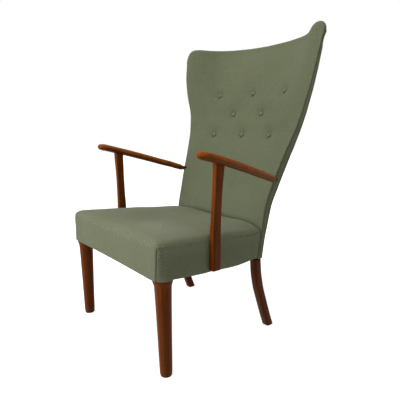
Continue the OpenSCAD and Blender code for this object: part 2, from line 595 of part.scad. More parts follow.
wing_screw_shares = [0.650, 0.712, 0.774];
function post_y_at(z) = lookup(z, [for (i = [len(post_curve_shares) - 1 : -1 : 0])
    let (r = post_curve_shares[i]) [up(r[0]), post_mid_y(r)]]);
module wing_screw_sites() both_sides() centred() for (f = wing_screw_shares)
    translate([stile_side, post_y_at(up(f)), up(f)])
        rotate([0, 90, 0]) children();
module wing_screw(slack) cylinder(h = rail_t - 2 * slack, d = screw_d - 2 * slack, center = true);
module wing_frame_screws() color("silver") wing_screw_sites() wing_screw(fit_gap);

// Buttons and their twines

recline = 20.5;
module button_sites() centred() for (b = button_shares) let (p = button_place(b))
    translate([p[0], plain_y(p[0], p[1]) + tuft_depth, p[1]]) rotate([0, 0, turn_at(p)]) children();
button_t = 5;
function turn_at(p) = atan((plain_y(p[0] + button_d, p[1]) - plain_y(p[0] - button_d, p[1]))
    / (2 * button_d));
module button() rotate([90 - recline, 0, 0]) translate([0, 0, 2 * gap]) {
    cylinder(h = 2 * cloth_t, d = tack_d * 2);
    translate([0, 0, cloth_t * 1.2]) intersection() {
        cylinder(h = button_t, d = button_d);
        translate([0, 0, button_t - button_d]) sphere(d = 2 * button_d);
    }
}
module back_buttons() color("olive") button_sites() button();
module button_twines() color("white") twine_sites() translate([0, 0, cloth_t + gap])
    cylinder(h = twine_l, d = tack_d * 0.7);
twine_l = back_t * 0.3;

// Arms and posts

// The front end of the arm follows the seat and its rear end the back
function arm_x(r) = r[0] * foot_half_w;
module arm() difference() {
    centred() loft([for (r = arm_shares) upright_ring(arm_x(r), deep(r[1]),
        up(r[2]), r[3] * arm_w / 2, r[4] * arm_t / 2, 0.7)]);
    post_dowel_site() dowel(fit_gap);
    arm_rear_site() dowel(fit_gap, arm_dowel_l);
}
module arm_left() color("chocolate") arm();
module arm_right() color("chocolate") mirror([1, 0, 0]) arm();

post_top_h = up(0.57972);
module arm_post() difference() {
    centred() loft([for (i = [0 : len(post_shares) - 1]) let (r = post_shares[i])
        level_ring(post_x + r[1] * post_flare, post_y,
            i == 0 ? post_top_h : post_foot_h + (post_top_h - post_foot_h) * r[0] / 0.903,
            r[2] * post_w / 2, r[2] * post_d / 2, i == 0 ? arm_slope : 0, 0.45)]);
    post_dowel_site() dowel(fit_gap);
    post_screw_axes() cylinder(h = post_w + rail_t, d = screw_d);
    post_screw_axes() translate([0, 0, -overrun]) cylinder(h = plug_seat + overrun, d = plug_d);
}
module arm_post_left() color("sienna") arm_post();
module arm_post_right() color("sienna") mirror([1, 0, 0]) arm_post();

module post_dowel_site() centred() translate([post_x + post_flare * 0.815, post_y,
    post_top_h - dowel_l * 0.3]) children();
module arm_post_dowels() color("wheat") both_sides() post_dowel_site() dowel(0);

// The rear dowel runs from the end of the arm into the post of the back
arm_dowel_share = [0.6935, 0.661, 0.5155];
arm_dowel_turn = 35;
module arm_rear_site() centred() translate([arm_dowel_share[0] * foot_half_w,
    deep(arm_dowel_share[1]), up(arm_dowel_share[2])])
    rotate([0, 0, arm_dowel_turn]) rotate([90, 0, 0]) children();
module arm_rear_dowels() color("wheat") both_sides() arm_rear_site() dowel(0, arm_dowel_l);

// Screws through each post into the seat rail, under wooden plugs
plug_seat = 9;
screw_shares = [0.108, 0.373];
module post_screw_axes() centred() for (f = screw_shares)
    translate([post_x + post_w / 2, post_y, post_foot_h + seat_box_h * f]) rotate([0, -90, 0]) children();
module arm_post_screws() color("silver") both_sides() post_screw_axes()
    translate([0, 0, plug_seat - 2 * cloth_t / 2]) {
        cylinder(h = cloth_t - gap, d = plug_d - gap);
        cylinder(h = post_w + rail_t * 0.6, d = screw_d - 2 * fit_gap);
    }
module arm_post_plugs() color("chocolate") both_sides() post_screw_axes()
    cylinder(h = plug_seat - cloth_t - gap, d = plug_d - 2 * fit_gap);

seat_cover();
seat_padding();
seat_hessian();
seat_webbing_long();
seat_webbing_cross();
seat_webbing_tacks();
seat_front_rail();
seat_rear_rail();
seat_side_rail_left();
seat_side_rail_right();
seat_corner_blocks();
corner_block_screws();
seat_frame_dowels();
dust_cover();
dust_cover_tacks();
front_leg_left();
front_leg_right();
rear_leg_left();
rear_leg_right();
back_front_cover();
back_rear_cover();
back_side_border_left();
back_side_border_right();
back_padding();
back_hessian();
back_webbing();
back_top_rail();
back_bottom_rail();
wing_frame_left();
wing_frame_right();
wing_frame_screws();
back_buttons();
button_twines();
arm_left();
arm_right();
arm_post_left();
arm_post_right();
arm_post_dowels();
arm_rear_dowels();
arm_post_screws();
arm_post_plugs();
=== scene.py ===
import math

import bmesh
import bpy
import numpy as np
from mathutils import Euler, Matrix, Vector


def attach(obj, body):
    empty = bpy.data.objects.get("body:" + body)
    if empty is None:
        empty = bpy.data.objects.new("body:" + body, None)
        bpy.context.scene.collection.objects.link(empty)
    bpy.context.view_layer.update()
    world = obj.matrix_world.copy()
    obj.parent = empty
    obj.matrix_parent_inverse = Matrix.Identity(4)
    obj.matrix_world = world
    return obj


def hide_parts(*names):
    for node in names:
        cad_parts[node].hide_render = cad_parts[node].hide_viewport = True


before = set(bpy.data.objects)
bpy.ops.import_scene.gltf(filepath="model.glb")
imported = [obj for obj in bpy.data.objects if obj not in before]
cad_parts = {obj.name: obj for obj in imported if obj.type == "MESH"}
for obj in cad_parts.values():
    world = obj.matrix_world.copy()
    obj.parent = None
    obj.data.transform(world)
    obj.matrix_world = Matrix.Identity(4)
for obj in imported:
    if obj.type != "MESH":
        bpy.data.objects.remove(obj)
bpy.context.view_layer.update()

# Named sizes, in millimetres
HEIGHT, HALF_W, REACH, BACK_T, WING = 1075, 367, 767, 64, 121
HALF_D = 381.93
SEAT_UNDER, SEAT_HALF, SEAT_D, SEAT_TILT = 303, 289, 449, 3.65
SEAT_CROWN, SEAT_EDGE, CORNER_R, REAR_BOW, SEAT_MID = 19, 28, 7, 14, 224.5
SEAT_TOP, SEAT_SIDE_EDGE, SEAT_REAR_EDGE, SEAT_FULL, SEAT_DISH = 113, 18, 14, 4.5, 9
LEG_X, LEG_Y, LEG_SPLAY, LEG_H, LEG_D, LEG_FLARE, LEG_HEAD = 270, 33, 4.5, 298.6, 47.5, 57, 43
POST_X, POST_Y, POST_FOOT, POST_TOP, POST_FLARE = 297.4, 206, 292, 623.2, 15.5
POST_W, POST_D, ARM_W, ARM_T, ARM_SLOPE = 20, 30, 44, 23, 0.27
STILE_SIDE, STILE_W, REAR_LEG = 247.8, 24, 28
TUFT_DEPTH, BUTTON_D, RECLINE, ROLL_H = 9, 17, 20.5, 10
CLOTH_T, BACK_FRAME_T, RAIL_H, RAIL_T, GAP = 3, 22, 64, 24, 0.4
STRAP_W, STRAP_T, SHEET_T, TWINE_R, TWINE_L = 46, 1.8, 1, 0.36, 20.7
ROUND = 40  # points round an arm, a post or a rear leg
SIDES = ((1, "left"), (-1, "right"))

# Back edge: height, half width, depth, border, hollow, curve power, middle thickness, as shares
HALF, DEPTH, BORDER, HOLLOW, POWER, MIDDLE = range(1, 7)
EDGE = np.array([
    [0.247, 0.69, 0.574, 0.375, 0.082, 1.6, 0.38], [0.307, 0.687, 0.586, 0.406, 0.099, 1.6, 0.53],
    [0.35, 0.684, 0.595, 0.438, 0.124, 1.6, 0.72], [0.419, 0.684, 0.613, 0.516, 0.231, 1.7, 0.91],
    [0.484, 0.706, 0.64, 0.594, 0.289, 1.9, 0.97], [0.549, 0.733, 0.671, 0.672, 0.306, 2.1, 1],
    [0.614, 0.768, 0.705, 0.625, 0.306, 2.3, 0.97], [0.679, 0.815, 0.736, 0.5, 0.322, 2.5, 0.94],
    [0.744, 0.861, 0.752, 0.453, 0.446, 2.8, 0.89], [0.809, 0.921, 0.754, 0.391, 0.645, 3.2, 0.83],
    [0.874, 0.962, 0.762, 0.328, 0.81, 3.5, 0.73], [0.93, 0.984, 0.778, 0.234, 0.901, 3.7, 0.63],
    [0.986, 1, 0.802, 0.125, 1, 3.9, 0.47], [1.01, 1, 0.806, 0.11, 1, 3.9, 0.45]])
# The cloth: padding eases the hollow curve, and the wings end about 16 mm thick
CLOTH_EDGE = EDGE.copy()
CLOTH_EDGE[6:12, POWER] = [1.9, 1.8, 1.9, 2, 2.3, 2.7]
CLOTH_EDGE[12:, POWER] = 3.2
WING_PAD = np.array([0.032, 0.076, 0.135, 0.13])
CLOTH_EDGE[10:, DEPTH] -= WING_PAD * BACK_T / REACH
CLOTH_EDGE[10:, HOLLOW] += WING_PAD * BACK_T / WING
REAR_EDGE = EDGE.copy()
REAR_EDGE[2:5, BORDER] += [0.05, 0.06, 0.04]
# Top line: share of the half width, height, and share of the hollow, as shares
TOP = np.array([
    [0, 0.9855, 1], [0.27, 0.9882, 1.01], [0.4, 0.9907, 1], [0.49, 0.992, 0.98],
    [0.63, 0.9926, 0.66], [0.72, 0.994, 0.4], [0.8, 0.9972, 0.18], [0.87, 1, 0.05],
    [0.92, 0.9988, -0.02], [0.955, 0.9945, -0.05], [0.98, 0.9872, -0.04], [0.993, 0.9795, -0.02],
    [1, 0.969, 0]])
CLOTH_TOP = TOP.copy()
CLOTH_TOP[:, 2] = [1, 0.985, 0.945, 0.87, 0.66, 0.42, 0.2, 0.06, 0, 0, 0, 0, 0]
# How far the hollow follows the top line, by height; the buttons across and up
BLEND = np.array([[0.744, 0], [0.809, 0.25], [0.874, 0.5], [0.93, 0.75], [0.983, 1], [1.02, 1]])
BUTTONS = [(0, 0.804), (0.536, 0.804), (-0.536, 0.804), (0.252, 0.7265), (-0.252, 0.7265),
           (0, 0.651), (0.536, 0.651), (-0.536, 0.651)]
FOLDS = ((0, 3), (0, 4), (1, 3), (2, 4), (3, 5), (4, 5), (3, 6), (4, 7))  # between buttons
BUTTON_SHAPE = ((0, 5), (2, 4.95), (4, 4.65), (5.8, 4), (7.2, 3), (8.1, 1.9), (8.5, 0.9),
                (8.4, 0.1), (7.8, -0.5), (5.5, -0.7), (2, -0.6), (2, -4), (0, -4))
# Width of the seat by depth, and how its cloth turns under: inwards, share of the front flap, up
SEAT_SIDE = np.array([[0, 0.985], [0.06, 0.998], [0.22, 1], [0.44, 0.99], [0.56, 0.972],
                      [0.67, 0.953], [0.78, 0.93], [0.9, 0.901], [1, 0.878]])
TURN_UNDER = ((0.6, 0, -0.7), (1.8, 0, -0.9), (3, 0, -0.5), (3.2, 0.5, -0.3), (3.2, 1, -0.1),
              (3.2, 1, 0.8), (3.2, 0.1, 0.8), (3.4, 0, 1.2))
# Arm: middle across, back and up, width and thickness; its dark neck starts at ARM_END
ARM = np.array([
    [0.8665, 0.16, 0.6079, 0.2, 0.3], [0.8665, 0.164, 0.6074, 0.55, 0.62],
    [0.865, 0.1735, 0.6063, 0.82, 0.86], [0.864, 0.191, 0.6046, 0.98, 1],
    [0.863, 0.211, 0.6014, 0.98, 1], [0.861, 0.256, 0.5935, 0.9, 1],
    [0.845, 0.321, 0.5814, 0.82, 1], [0.823, 0.3865, 0.5684, 0.78, 1],
    [0.801, 0.452, 0.5553, 0.74, 1], [0.776, 0.517, 0.5414, 0.72, 1],
    [0.755, 0.569, 0.5312, 0.7, 0.98], [0.74, 0.61, 0.5219, 0.68, 0.94],
    [0.735, 0.63, 0.5177, 0.66, 0.92], [0.733, 0.6385, 0.5159, 0.6, 0.84],
    [0.7325, 0.6415, 0.5154, 0.46, 0.66], [0.731, 0.647, 0.5146, 0.4, 0.62],
    [0.7285, 0.662, 0.512, 0.4, 0.62]])
ARM_END = 0.6405
# Arm post: height, curve outwards and size
POST = np.array([[0.903, 0.815, 1.14], [0.843, 0.8, 1.1], [0.76, 0.62, 1.05], [0.62, 0.4, 0.99],
                 [0.44, 0.16, 1.02], [0.33, 0, 1.1], [0.16, -0.02, 1.15], [0.024, -0.02, 1.15],
                 [0.0125, -0.02, 1.04]])
# Rear leg: height, depth, move inwards, more width, and half the depth
REAR = np.array([
    [0.84, 0.8588, 0, 0, 0.36], [0.8093, 0.856, 0, 0, 0.36], [0.744, 0.8259, 0, 0, 0.38],
    [0.679, 0.7927, 0, 0, 0.39], [0.614, 0.7548, 0, 0, 0.39], [0.549, 0.7164, 0, 0, 0.39],
    [0.484, 0.6708, 0, 0, 0.38], [0.419, 0.638, 0, 0, 0.34], [0.35, 0.615, 0, 0, 0.33],
    [0.279, 0.594, 0, 0, 0.41], [0.2535, 0.579, 0, 0, 0.47], [0.249, 0.579, 1, 1.6, 0.57],
    [0.212, 0.583, 1, 1.6, 0.58], [0.157, 0.598, 1, 1.6, 0.59], [0.0986, 0.625, 1, 1.6, 0.58],
    [0.0288, 0.6605, 1, 1.6, 0.58], [0.003, 0.675, 1, 1.6, 0.58], [0, 0.6755, 1, 1.4, 0.53]])
# Front leg: height and radius
LEG = np.array([
    [0, 0.62], [0.004, 0.675], [0.01, 0.7], [0.05, 0.75], [0.2, 0.795], [0.373, 0.836], [0.56, 0.89],
    [0.737, 0.943], [0.89, 1], [0.925, 1.025], [0.945, 1.075], [0.962, 1.14], [0.978, 1.195],
    [0.992, 1.2], [1, 1.195]])


# Curves and meshes
def smooth(xs, ys, t):
    """Smooth curve through points, without overshoot."""
    xs, ys, t = np.asarray(xs, float), np.asarray(ys, float), np.asarray(t, float)
    h = np.diff(xs)
    d = np.diff(ys) / h
    m = np.empty(len(xs))
    m[0], m[-1] = d[0], d[-1]
    for i in range(1, len(xs) - 1):
        same = d[i - 1] * d[i] > 0
        w1, w2 = 2 * h[i] + h[i - 1], h[i] + 2 * h[i - 1]
        m[i] = (w1 + w2) / (w1 / d[i - 1] + w2 / d[i]) if same else 0
    t = np.clip(t, xs[0], xs[-1])
    i = np.clip(np.searchsorted(xs, t, side="right") - 1, 0, len(xs) - 2)
    s = (t - xs[i]) / h[i]
    return ((2 * s ** 3 - 3 * s ** 2 + 1) * ys[i] + (s ** 3 - 2 * s ** 2 + s) * h[i] * m[i]
            + (-2 * s ** 3 + 3 * s ** 2) * ys[i + 1] + (s ** 3 - s ** 2) * h[i] * m[i + 1])


def step(a, b, t):
    """A soft step from 0 at a to 1 at b."""
    s = np.clip((np.asarray(t, float) - a) / (b - a), 0, 1)
    return s * s * (3 - 2 * s)


def bell(d, width, power=2):
    """1 where d is 0, falling to nearly 0 beyond the width; a high power gives a flat top."""
    return np.exp(-(d / width) ** power)


def lengths(line):
    """Distance of each point from the first one, along a line or along each column of a net."""
    return np.cumsum(np.linalg.norm(np.diff(line, axis=0, prepend=line[:1]), axis=-1), axis=0)


def points(x, y, z):
    """Points from their places across, back and up; a single number holds for them all."""
    return np.stack(np.broadcast_arrays(x, y, z), axis=-1)


def angles(n):
    return np.arange(n) * 2 * math.pi / n


def finer(table, n):
    """A table of points made n times finer along its length."""
    k = np.arange(len(table))
    t = np.linspace(0, len(table) - 1, (len(table) - 1) * n + 1)
    return np.stack([smooth(k, table[:, c], t) for c in range(table.shape[1])], axis=1)


def put(name, data, where=(0, 0, 0), turn=(0, 0, 0)):
    """A new object in the scene."""
    obj = bpy.data.objects.new(name, data)
    obj.location = where
    obj.rotation_euler = turn
    bpy.context.scene.collection.objects.link(obj)
    return obj


def new_object(name, verts, faces, uvs, material, seam):
    """A mesh object from points in millimetres; uvs is one place in metres for each point.

    seam darkens the cloth where it is above 0, for seam thread and as painted shade in folds and creases, and
    lightens it below 0 as painted light.
    """
    mesh = bpy.data.meshes.new(name)
    mesh.from_pydata(verts / 1000, [], faces)
    corners = [v for face in faces for v in face]
    mesh.uv_layers.new(name="cloth").data.foreach_set("uv", uvs[corners].ravel())
    if seam is not None:
        mask = np.zeros(len(verts))
        mask[:len(seam)] = seam
        mesh.attributes.new("seam", "FLOAT", "POINT").data.foreach_set("value", mask)
    bm = bmesh.new()
    bm.from_mesh(mesh)
    bmesh.ops.remove_doubles(bm, verts=bm.verts, dist=0.00005)
    bmesh.ops.recalc_face_normals(bm, faces=bm.faces)
    for f in bm.faces:
        f.smooth = True
    bm.to_mesh(mesh)
    bm.free()
    mesh.materials.append(material)
    return put(name, mesh)


def tube(rings, uv=None, caps=True):
    """Points, faces and uvs of a skin through rings of equal length.

    Its ends are closed by fans, by strips across rings that fold back as the back's do, or by a
    plain fold; caps=False leaves them open.
    """
    rings = np.asarray(rings, float)
    m, n = rings.shape[:2]
    verts = rings.reshape(-1, 3)
    faces = [(r * n + i, r * n + (i + 1) % n, (r + 1) * n + (i + 1) % n, (r + 1) * n + i)
             for r in range(m - 1) for i in range(n)]
    if uv is None:
        along = lengths(rings.mean(axis=1))
        uv = np.stack([lengths(rings.swapaxes(0, 1)).T, np.repeat(along[:, None], n, axis=1)], axis=2)
    uv = np.asarray(uv).reshape(-1, 2) / 1000.0
    if caps == "strip":
        half = n // 2
        for r in (0, (m - 1) * n):
            for j in range((half + 1) // 2 - 1):
                for side in (1, -1):
                    faces.append([r + side * k % n for k in (j, j + 1, half - 1 - j, half - j)])
    elif caps == "fold":
        faces += [(r + j, r + j + 1, r + n - 2 - j, r + n - 1 - j)
                  for r in (0, (m - 1) * n) for j in range(n // 2 - 1)]
    elif caps:
        verts = np.vstack([verts, rings[0].mean(axis=0), rings[-1].mean(axis=0)])
        uv = np.vstack([uv, uv[0], uv[-1]])
        faces += [(n * m, (i + 1) % n, i) for i in range(n)]
        faces += [(n * m + 1, (m - 1) * n + i, (m - 1) * n + (i + 1) % n) for i in range(n)]
    return verts, faces, uv


def cloth_uv(rings):
    """Metric cloth coordinates: across from the middle of each row, and up along each column."""
    return np.stack([lengths(rings.swapaxes(0, 1)).T, lengths(rings)], axis=2)


def join(parts):
    """Several (points, faces, uvs) as one."""
    verts, faces, uvs, n = [], [], [], 0
    for v, f, u in parts:
        verts.append(v)
        uvs.append(u)
        faces += [tuple(i + n for i in face) for face in f]
        n += len(v)
    return np.vstack(verts), faces, np.vstack(uvs)


def on_side(part, side):
    """A part as it is for side 1, and mirrored for side -1."""
    verts, faces, uvs = part
    return part if side > 0 else (verts * [-1, 1, 1], [face[::-1] for face in faces], uvs)


def oval(n, e):
    """The places across and along an oval; a low power e makes it nearly square."""
    return [np.sign(v) * np.abs(v) ** e for v in (np.cos(angles(n)), np.sin(angles(n)))]


# Materials
def colour(r, g, b):
    """The linear colour of an 8-bit screen colour."""
    lin = [c / 12.92 if c <= 0.04045 else ((c + 0.055) / 1.055) ** 2.4 for c in (r / 255, g / 255, b / 255)]
    return (*lin, 1.0)


def colours(*screen):
    return [colour(*c) for c in screen]


class Nodes:
    """Short ways to add nodes to a tree."""

    def __init__(self, tree):
        self.tree = tree

    def add(self, kind, props=None, **inputs):
        """A new node; i0, i1 and so on are sockets by number, others by name."""
        node = self.tree.nodes.new("ShaderNode" + kind)
        for key, value in (props or {}).items():
            setattr(node, key, value)
        for key, value in inputs.items():
            number = key[0] == "i" and key[1:].isdigit()
            self.feed(node.inputs[int(key[1:]) if number else key.replace("_", " ")], value)
        return node

    def feed(self, socket, value):
        if isinstance(value, bpy.types.NodeSocket):
            self.tree.links.new(value, socket)
        else:
            socket.default_value = value

    def math(self, operation, a, b=0.0, clamp=False):
        return self.add("Math", {"operation": operation, "use_clamp": clamp}, i0=a, i1=b).outputs[0]

    def product(self, a, b, clamp=False):
        return self.math("MULTIPLY", a, b, clamp)

    def mix(self, factor, a, b):
        return self.add("Mix", {"data_type": "RGBA", "clamp_factor": True}, i0=factor, i6=a, i7=b).outputs[2]

    def ramp(self, factor, low, high):
        return self.add("MapRange", {"interpolation_type": "SMOOTHSTEP"},
                        Value=factor, From_Min=low, From_Max=high).outputs[0]

    def seen(self):
        """1 on rays from the camera, from reflections and through clear things."""
        ray = self.add("LightPath").outputs
        return self.math("MAXIMUM", ray["Is Camera Ray"],
                         self.math("MAXIMUM", ray["Is Glossy Ray"], ray["Is Transmission Ray"]))


class Finish(Nodes):
    """A material, and its patterns."""

    def __init__(self, name, **values):
        self.mat = bpy.data.materials.new(name)
        self.mat.use_nodes = True
        super().__init__(self.mat.node_tree)
        self.bsdf = self.tree.nodes["Principled BSDF"]
        for key, value in values.items():
            self.bsdf.inputs[key.replace("_", " ")].default_value = value

    def place(self, source, scale=(1, 1, 1), turn=(0, 0, 0)):
        return self.add("Mapping", Vector=self.add("TexCoord").outputs[source],
                        Scale=scale, Rotation=turn).outputs[0]

    def noise(self, at, scale, detail=2.0, rough=0.5, distort=0.0):
        return self.add("TexNoise", Vector=at, Scale=scale, Detail=detail,
                        Roughness=rough, Distortion=distort).outputs[0]

    def bands(self, at, period, direction, distort, detail_scale):
        """Stripes with the period in metres across one direction, a little wavy."""
        return self.add("TexWave", {"bands_direction": direction}, Vector=at, Scale=0.31416 / period,
                        Distortion=distort, Detail=2.0, Detail_Scale=detail_scale).outputs[1]

    def tones(self, tone, *layers):
        """A tone with layers over it: pattern, its values for none and full, the most, and the colour."""
        for pattern, none, full, most, other in layers:
            tone = self.mix(self.product(self.ramp(pattern, none, full), most), tone, other)
        return tone

    def mask(self):
        """The mask of seams, painted shade and painted light that new_object keeps with the points."""
        return self.add("Attribute", {"attribute_name": "seam"}).outputs["Fac"]

    def bump(self, height, strength, distance, **before):
        return self.add("Bump", Strength=strength, Distance=distance, Height=height, **before).outputs[0]

    def done(self, base, rough, share, least, normal):
        """The finished material; its roughness is a share of a pattern above the least."""
        rough = self.math("ADD", self.product(rough, share), least, True)
        for socket, name in ((base, "Base Color"), (rough, "Roughness"), (normal, "Normal")):
            self.feed(self.bsdf.inputs[name], socket)
        return self.mat


def wool(name, base, shade, fleck, period=0.0017, source="UV"):
    """Wool cloth in plain weave, with mixed fibres, slubs and slow changes of tone."""
    base, shade, fleck = colours(base, shade, fleck)
    f = Finish(name, Sheen_Weight=0.06, Sheen_Roughness=0.5, Specular_IOR_Level=0.12)
    at, whole = f.place(source), f.place("Object")
    warp, weft = f.bands(at, period, "X", 1.2, 3), f.bands(at, period * 1.15, "Y", 1.2, 3)
    weave = f.product(f.math("ADD", warp, weft), 0.5)
    fibre = f.noise(at, 900, 4, 0.7)
    slub = f.noise(f.place(source, (18, 320, 1)), 1)
    thread = f.noise(f.place(source, (420, 26, 1)), 1, 3, 0.6)
    grit = f.noise(at, 300, 2, 0.55)
    slow, mid = f.noise(whole, 7, 3, 0.55), f.noise(whole, 45, 3, 0.6)
    tone = f.tones(base, (slow, 0.7, 0.3, 0.55, shade), (thread, 0.35, 0.65, 0.35, shade),
                   (fibre, 0.42, 0.72, 0.55, fleck), (weave, 0.62, 0.15, 0.20, shade),
                   (mid, 0.42, 0.75, 0.14, fleck), (slub, 0.62, 0.8, 0.12, fleck),
                   (grit, 0.52, 0.40, 0.30, colour(78, 84, 58)),
                   (grit, 0.48, 0.60, 0.17, colour(146, 151, 126)))
    # Below 0 the mask paints light towards a pale tone; above 0 it paints seam thread and painted shade
    # towards a dark tone.
    seam = f.mask()
    tone = f.mix(f.product(seam, -0.55, True), tone, colour(158, 160, 144))
    tone = f.mix(f.product(seam, 0.85, True), tone, colour(40, 47, 22))
    height = f.math("ADD", f.math("ADD", weave, f.product(fibre, 0.6)), f.product(slub, 0.4))
    return f.done(tone, fibre, 0.12, 0.84, f.bump(mid, 0.12, 0.0012, Normal=f.bump(height, 0.35, 0.0005)))


def timber(name, light, dark, pore, turn=(0, 0, 0), rough=0.46, scale=1, wear=None, below=0, side_shade=0):
    """Wood with long grain along Z of the turned coordinates, pores and slow changes of tone.

    below paints shade on faces that look down, and the weight after it paints shade on faces that look to a
    side.
    """
    light, dark, pore = colours(light, dark, pore)
    f = Finish(name, Specular_IOR_Level=0.09, Specular_Tint=(1, 0.62, 0.36, 1))
    plain, fine = f.place("Object"), f.place("Object", (1, 1, 0.022), turn)
    rings = f.bands(f.place("Object", (1, 0.6, 0.05), turn), 0.011 / scale, "X", 5, 0.7)
    figure = f.noise(f.place("Object", (1, 1, 0.07), turn), 62.0 * scale, 5, 0.6, 0.8)
    streak = f.noise(fine, 330.0 * scale, 3, 0.55)
    pores = f.noise(fine, 1300.0 * scale)
    blotch = f.noise(f.place("Object", (1, 1, 0.4), turn), 75, 3, 0.6)
    grain = f.math("ADD", f.product(rings, 0.14),
                   f.math("ADD", f.product(figure, 0.75), f.product(streak, 0.45)))
    tone = f.tones(f.mix(f.ramp(grain, 0.36, 0.96), dark, light),
                   (f.noise(plain, 9), 0.35, 0.7, 0.22, dark), (blotch, 0.5, 0.72, 0.35, dark))
    if wear:
        tone = f.tones(tone, (f.noise(plain, 38, 4, 0.6), 0.58, 0.78, 0.25, colour(*wear)))
    tone = f.tones(tone, (pores, 0.60, 0.72, 0.55, pore))
    if below or side_shade:
        facing = f.add("SeparateXYZ", Vector=f.add("NewGeometry").outputs["Normal"]).outputs
    # The dark neck where the mask is set; faces that look down are painted darker, as painted shade.
    if below:
        tone = f.tones(f.mix(f.product(f.mask(), 0.85), tone, pore), (facing["Z"], 0.25, -0.55, below, pore))
    # Faces that look to a side are painted darker, as painted shade.
    if side_shade:
        tone = f.tones(tone, (f.math("ABSOLUTE", facing["X"]), 0.55, 0.95, side_shade, pore))
    height = f.math("SUBTRACT", f.product(streak, 0.4), f.ramp(pores, 0.58, 0.75))
    return f.done(tone, figure, 0.22, rough - 0.10, f.bump(height, 0.10, 0.0003))


def strapping(name, base, dark, stripe, period=0.0032):
    """Coarse jute or cloth in a plain weave."""
    base, dark, stripe = colours(base, dark, stripe)
    f = Finish(name, Specular_IOR_Level=0.15)
    at = f.place("Object")
    weave = f.product(f.bands(at, period, "X", 1.5, 2), f.bands(at, period, "Y", 1.5, 2))
    fibre = f.noise(at, 650, 4, 0.7)
    tone = f.tones(f.mix(f.ramp(weave, 0, 0.6), dark, base), (fibre, 0.5, 0.75, 0.5, stripe))
    return f.done(tone, fibre, 0.1, 0.85, f.bump(f.math("ADD", weave, f.product(fibre, 0.5)), 0.5, 0.0008))


def metal(name, base, spots):
    """Plain steel with dull spots and fine scratches."""
    f = Finish(name, Metallic=1)
    spot = f.noise(f.place("Object"), 420, 4, 0.6)
    scratch = f.noise(f.place("Object", (1, 1, 0.1)), 900)
    tone = f.mix(f.ramp(spot, 0.5, 0.75), *colours(base, spots))
    return f.done(tone, spot, 0.35, 0.22, f.bump(scratch, 0.15, 0.0002))


# The seat's wool is painted lighter than the back's, as painted light on the seat.
SEAT_WOOL_PAINTED_LIGHT = wool("sage_wool_seat", (119, 123, 98), (108, 112, 87), (139, 143, 119))
SAGE = wool("sage_wool", (107, 113, 87), (96, 102, 77), (128, 133, 107))
SAGE_SIDE = wool("sage_wool_border", (117, 120, 92), (105, 108, 82), (137, 140, 113))
BUTTON = wool("button_wool", (115, 119, 95), (100, 105, 81), (138, 142, 118), 0.0014, "Object")
QUARTER = math.radians(90)
STAIN = dict(light=(125, 62, 17), dark=(84, 37, 10), pore=(50, 22, 7), wear=(146, 80, 28))
POST_STAIN = dict(STAIN, light=(138, 71, 21), dark=(96, 44, 13))
ARM_STAIN = dict(STAIN, light=(154, 87, 32), dark=(119, 61, 19), wear=(178, 108, 48))
# The rear legs' stain is painted darker, as painted shade below the seat.
REAR_SHADED_STAIN = dict(STAIN, light=(104, 49, 14), dark=(68, 29, 9))
# Painted shade: these woods are darker on faces that look to a side, and the arms on faces that look down.
WOOD_Z = timber("stained_beech_upright", side_shade=0.45, **POST_STAIN)
WOOD_REAR_SHADED = timber("stained_beech_rear_shaded", side_shade=0.15, **REAR_SHADED_STAIN)
WOOD_Y = timber("stained_beech_arm", turn=(math.radians(75), 0, 0), rough=0.5, below=0.6, **ARM_STAIN)
WOOD_LEG = timber("stained_beech_turned", scale=0.9, side_shade=0.35, **STAIN)
RAW = dict(light=(206, 172, 128), dark=(176, 138, 96), pore=(140, 102, 68), rough=0.6)
RAW_X = timber("raw_beech_cross", turn=(0, QUARTER, 0), **RAW)
RAW_Y = timber("raw_beech_side", turn=(QUARTER, 0, 0), **RAW)
RAW_Z = timber("raw_beech_upright", **RAW)
JUTE = strapping("jute", (170, 136, 92), (120, 90, 56), (196, 166, 122))
HESSIAN = strapping("hessian", (178, 148, 104), (128, 100, 66), (200, 174, 132), 0.0022)
CAMBRIC = strapping("black_cambric", (34, 34, 36), (18, 18, 20), (58, 58, 60), 0.0011)
TWINE = strapping("twine", (214, 204, 182), (170, 158, 132), (232, 226, 210), 0.0012)
STEEL = metal("steel", (150, 152, 156), (92, 88, 84))

# The CAD nodes that stay in sight
for finish, nodes in (
        (RAW_X, "seat_front_rail seat_rear_rail back_top_rail back_bottom_rail"),
        (RAW_Y, "seat_side_rail_left seat_side_rail_right seat_frame_dowels"),
        (RAW_Z, "seat_corner_blocks wing_frame_left wing_frame_right arm_post_dowels"),
        (STEEL, "seat_webbing_tacks dust_cover_tacks"),
        (STEEL, "corner_block_screws wing_frame_screws arm_post_screws"),
        (WOOD_Z, "arm_post_plugs"), (WOOD_REAR_SHADED, "arm_rear_dowels")):
    for node in nodes.split():
        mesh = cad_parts[node].data
        mesh.materials.clear()
        mesh.materials.append(finish)


# Wood
def dress(name, part, material, slot, *nodes, seam=None):
    """A visible piece in place of some CAD nodes, riding with the chair's one body."""
    obj = new_object(name, *part, material, seam)
    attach(obj, "root")
    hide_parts(*nodes)
    return obj


def arm_part():
    """An arm along the table ARM, and the mask of the dark neck at its rear end."""
    cx, cz = oval(ROUND, 0.94)
    table = finer(ARM, 8)
    rings = [points(x * HALF_W + w * (ARM_W / 2 + 1) * cx, y * REACH - HALF_D,
                    z * HEIGHT + t * (ARM_T / 2 + 1.8) * cz) for x, y, z, w, t in table]
    return tube(rings), np.repeat(step(ARM_END - 0.001, ARM_END + 0.001, table[:, 1]), ROUND)


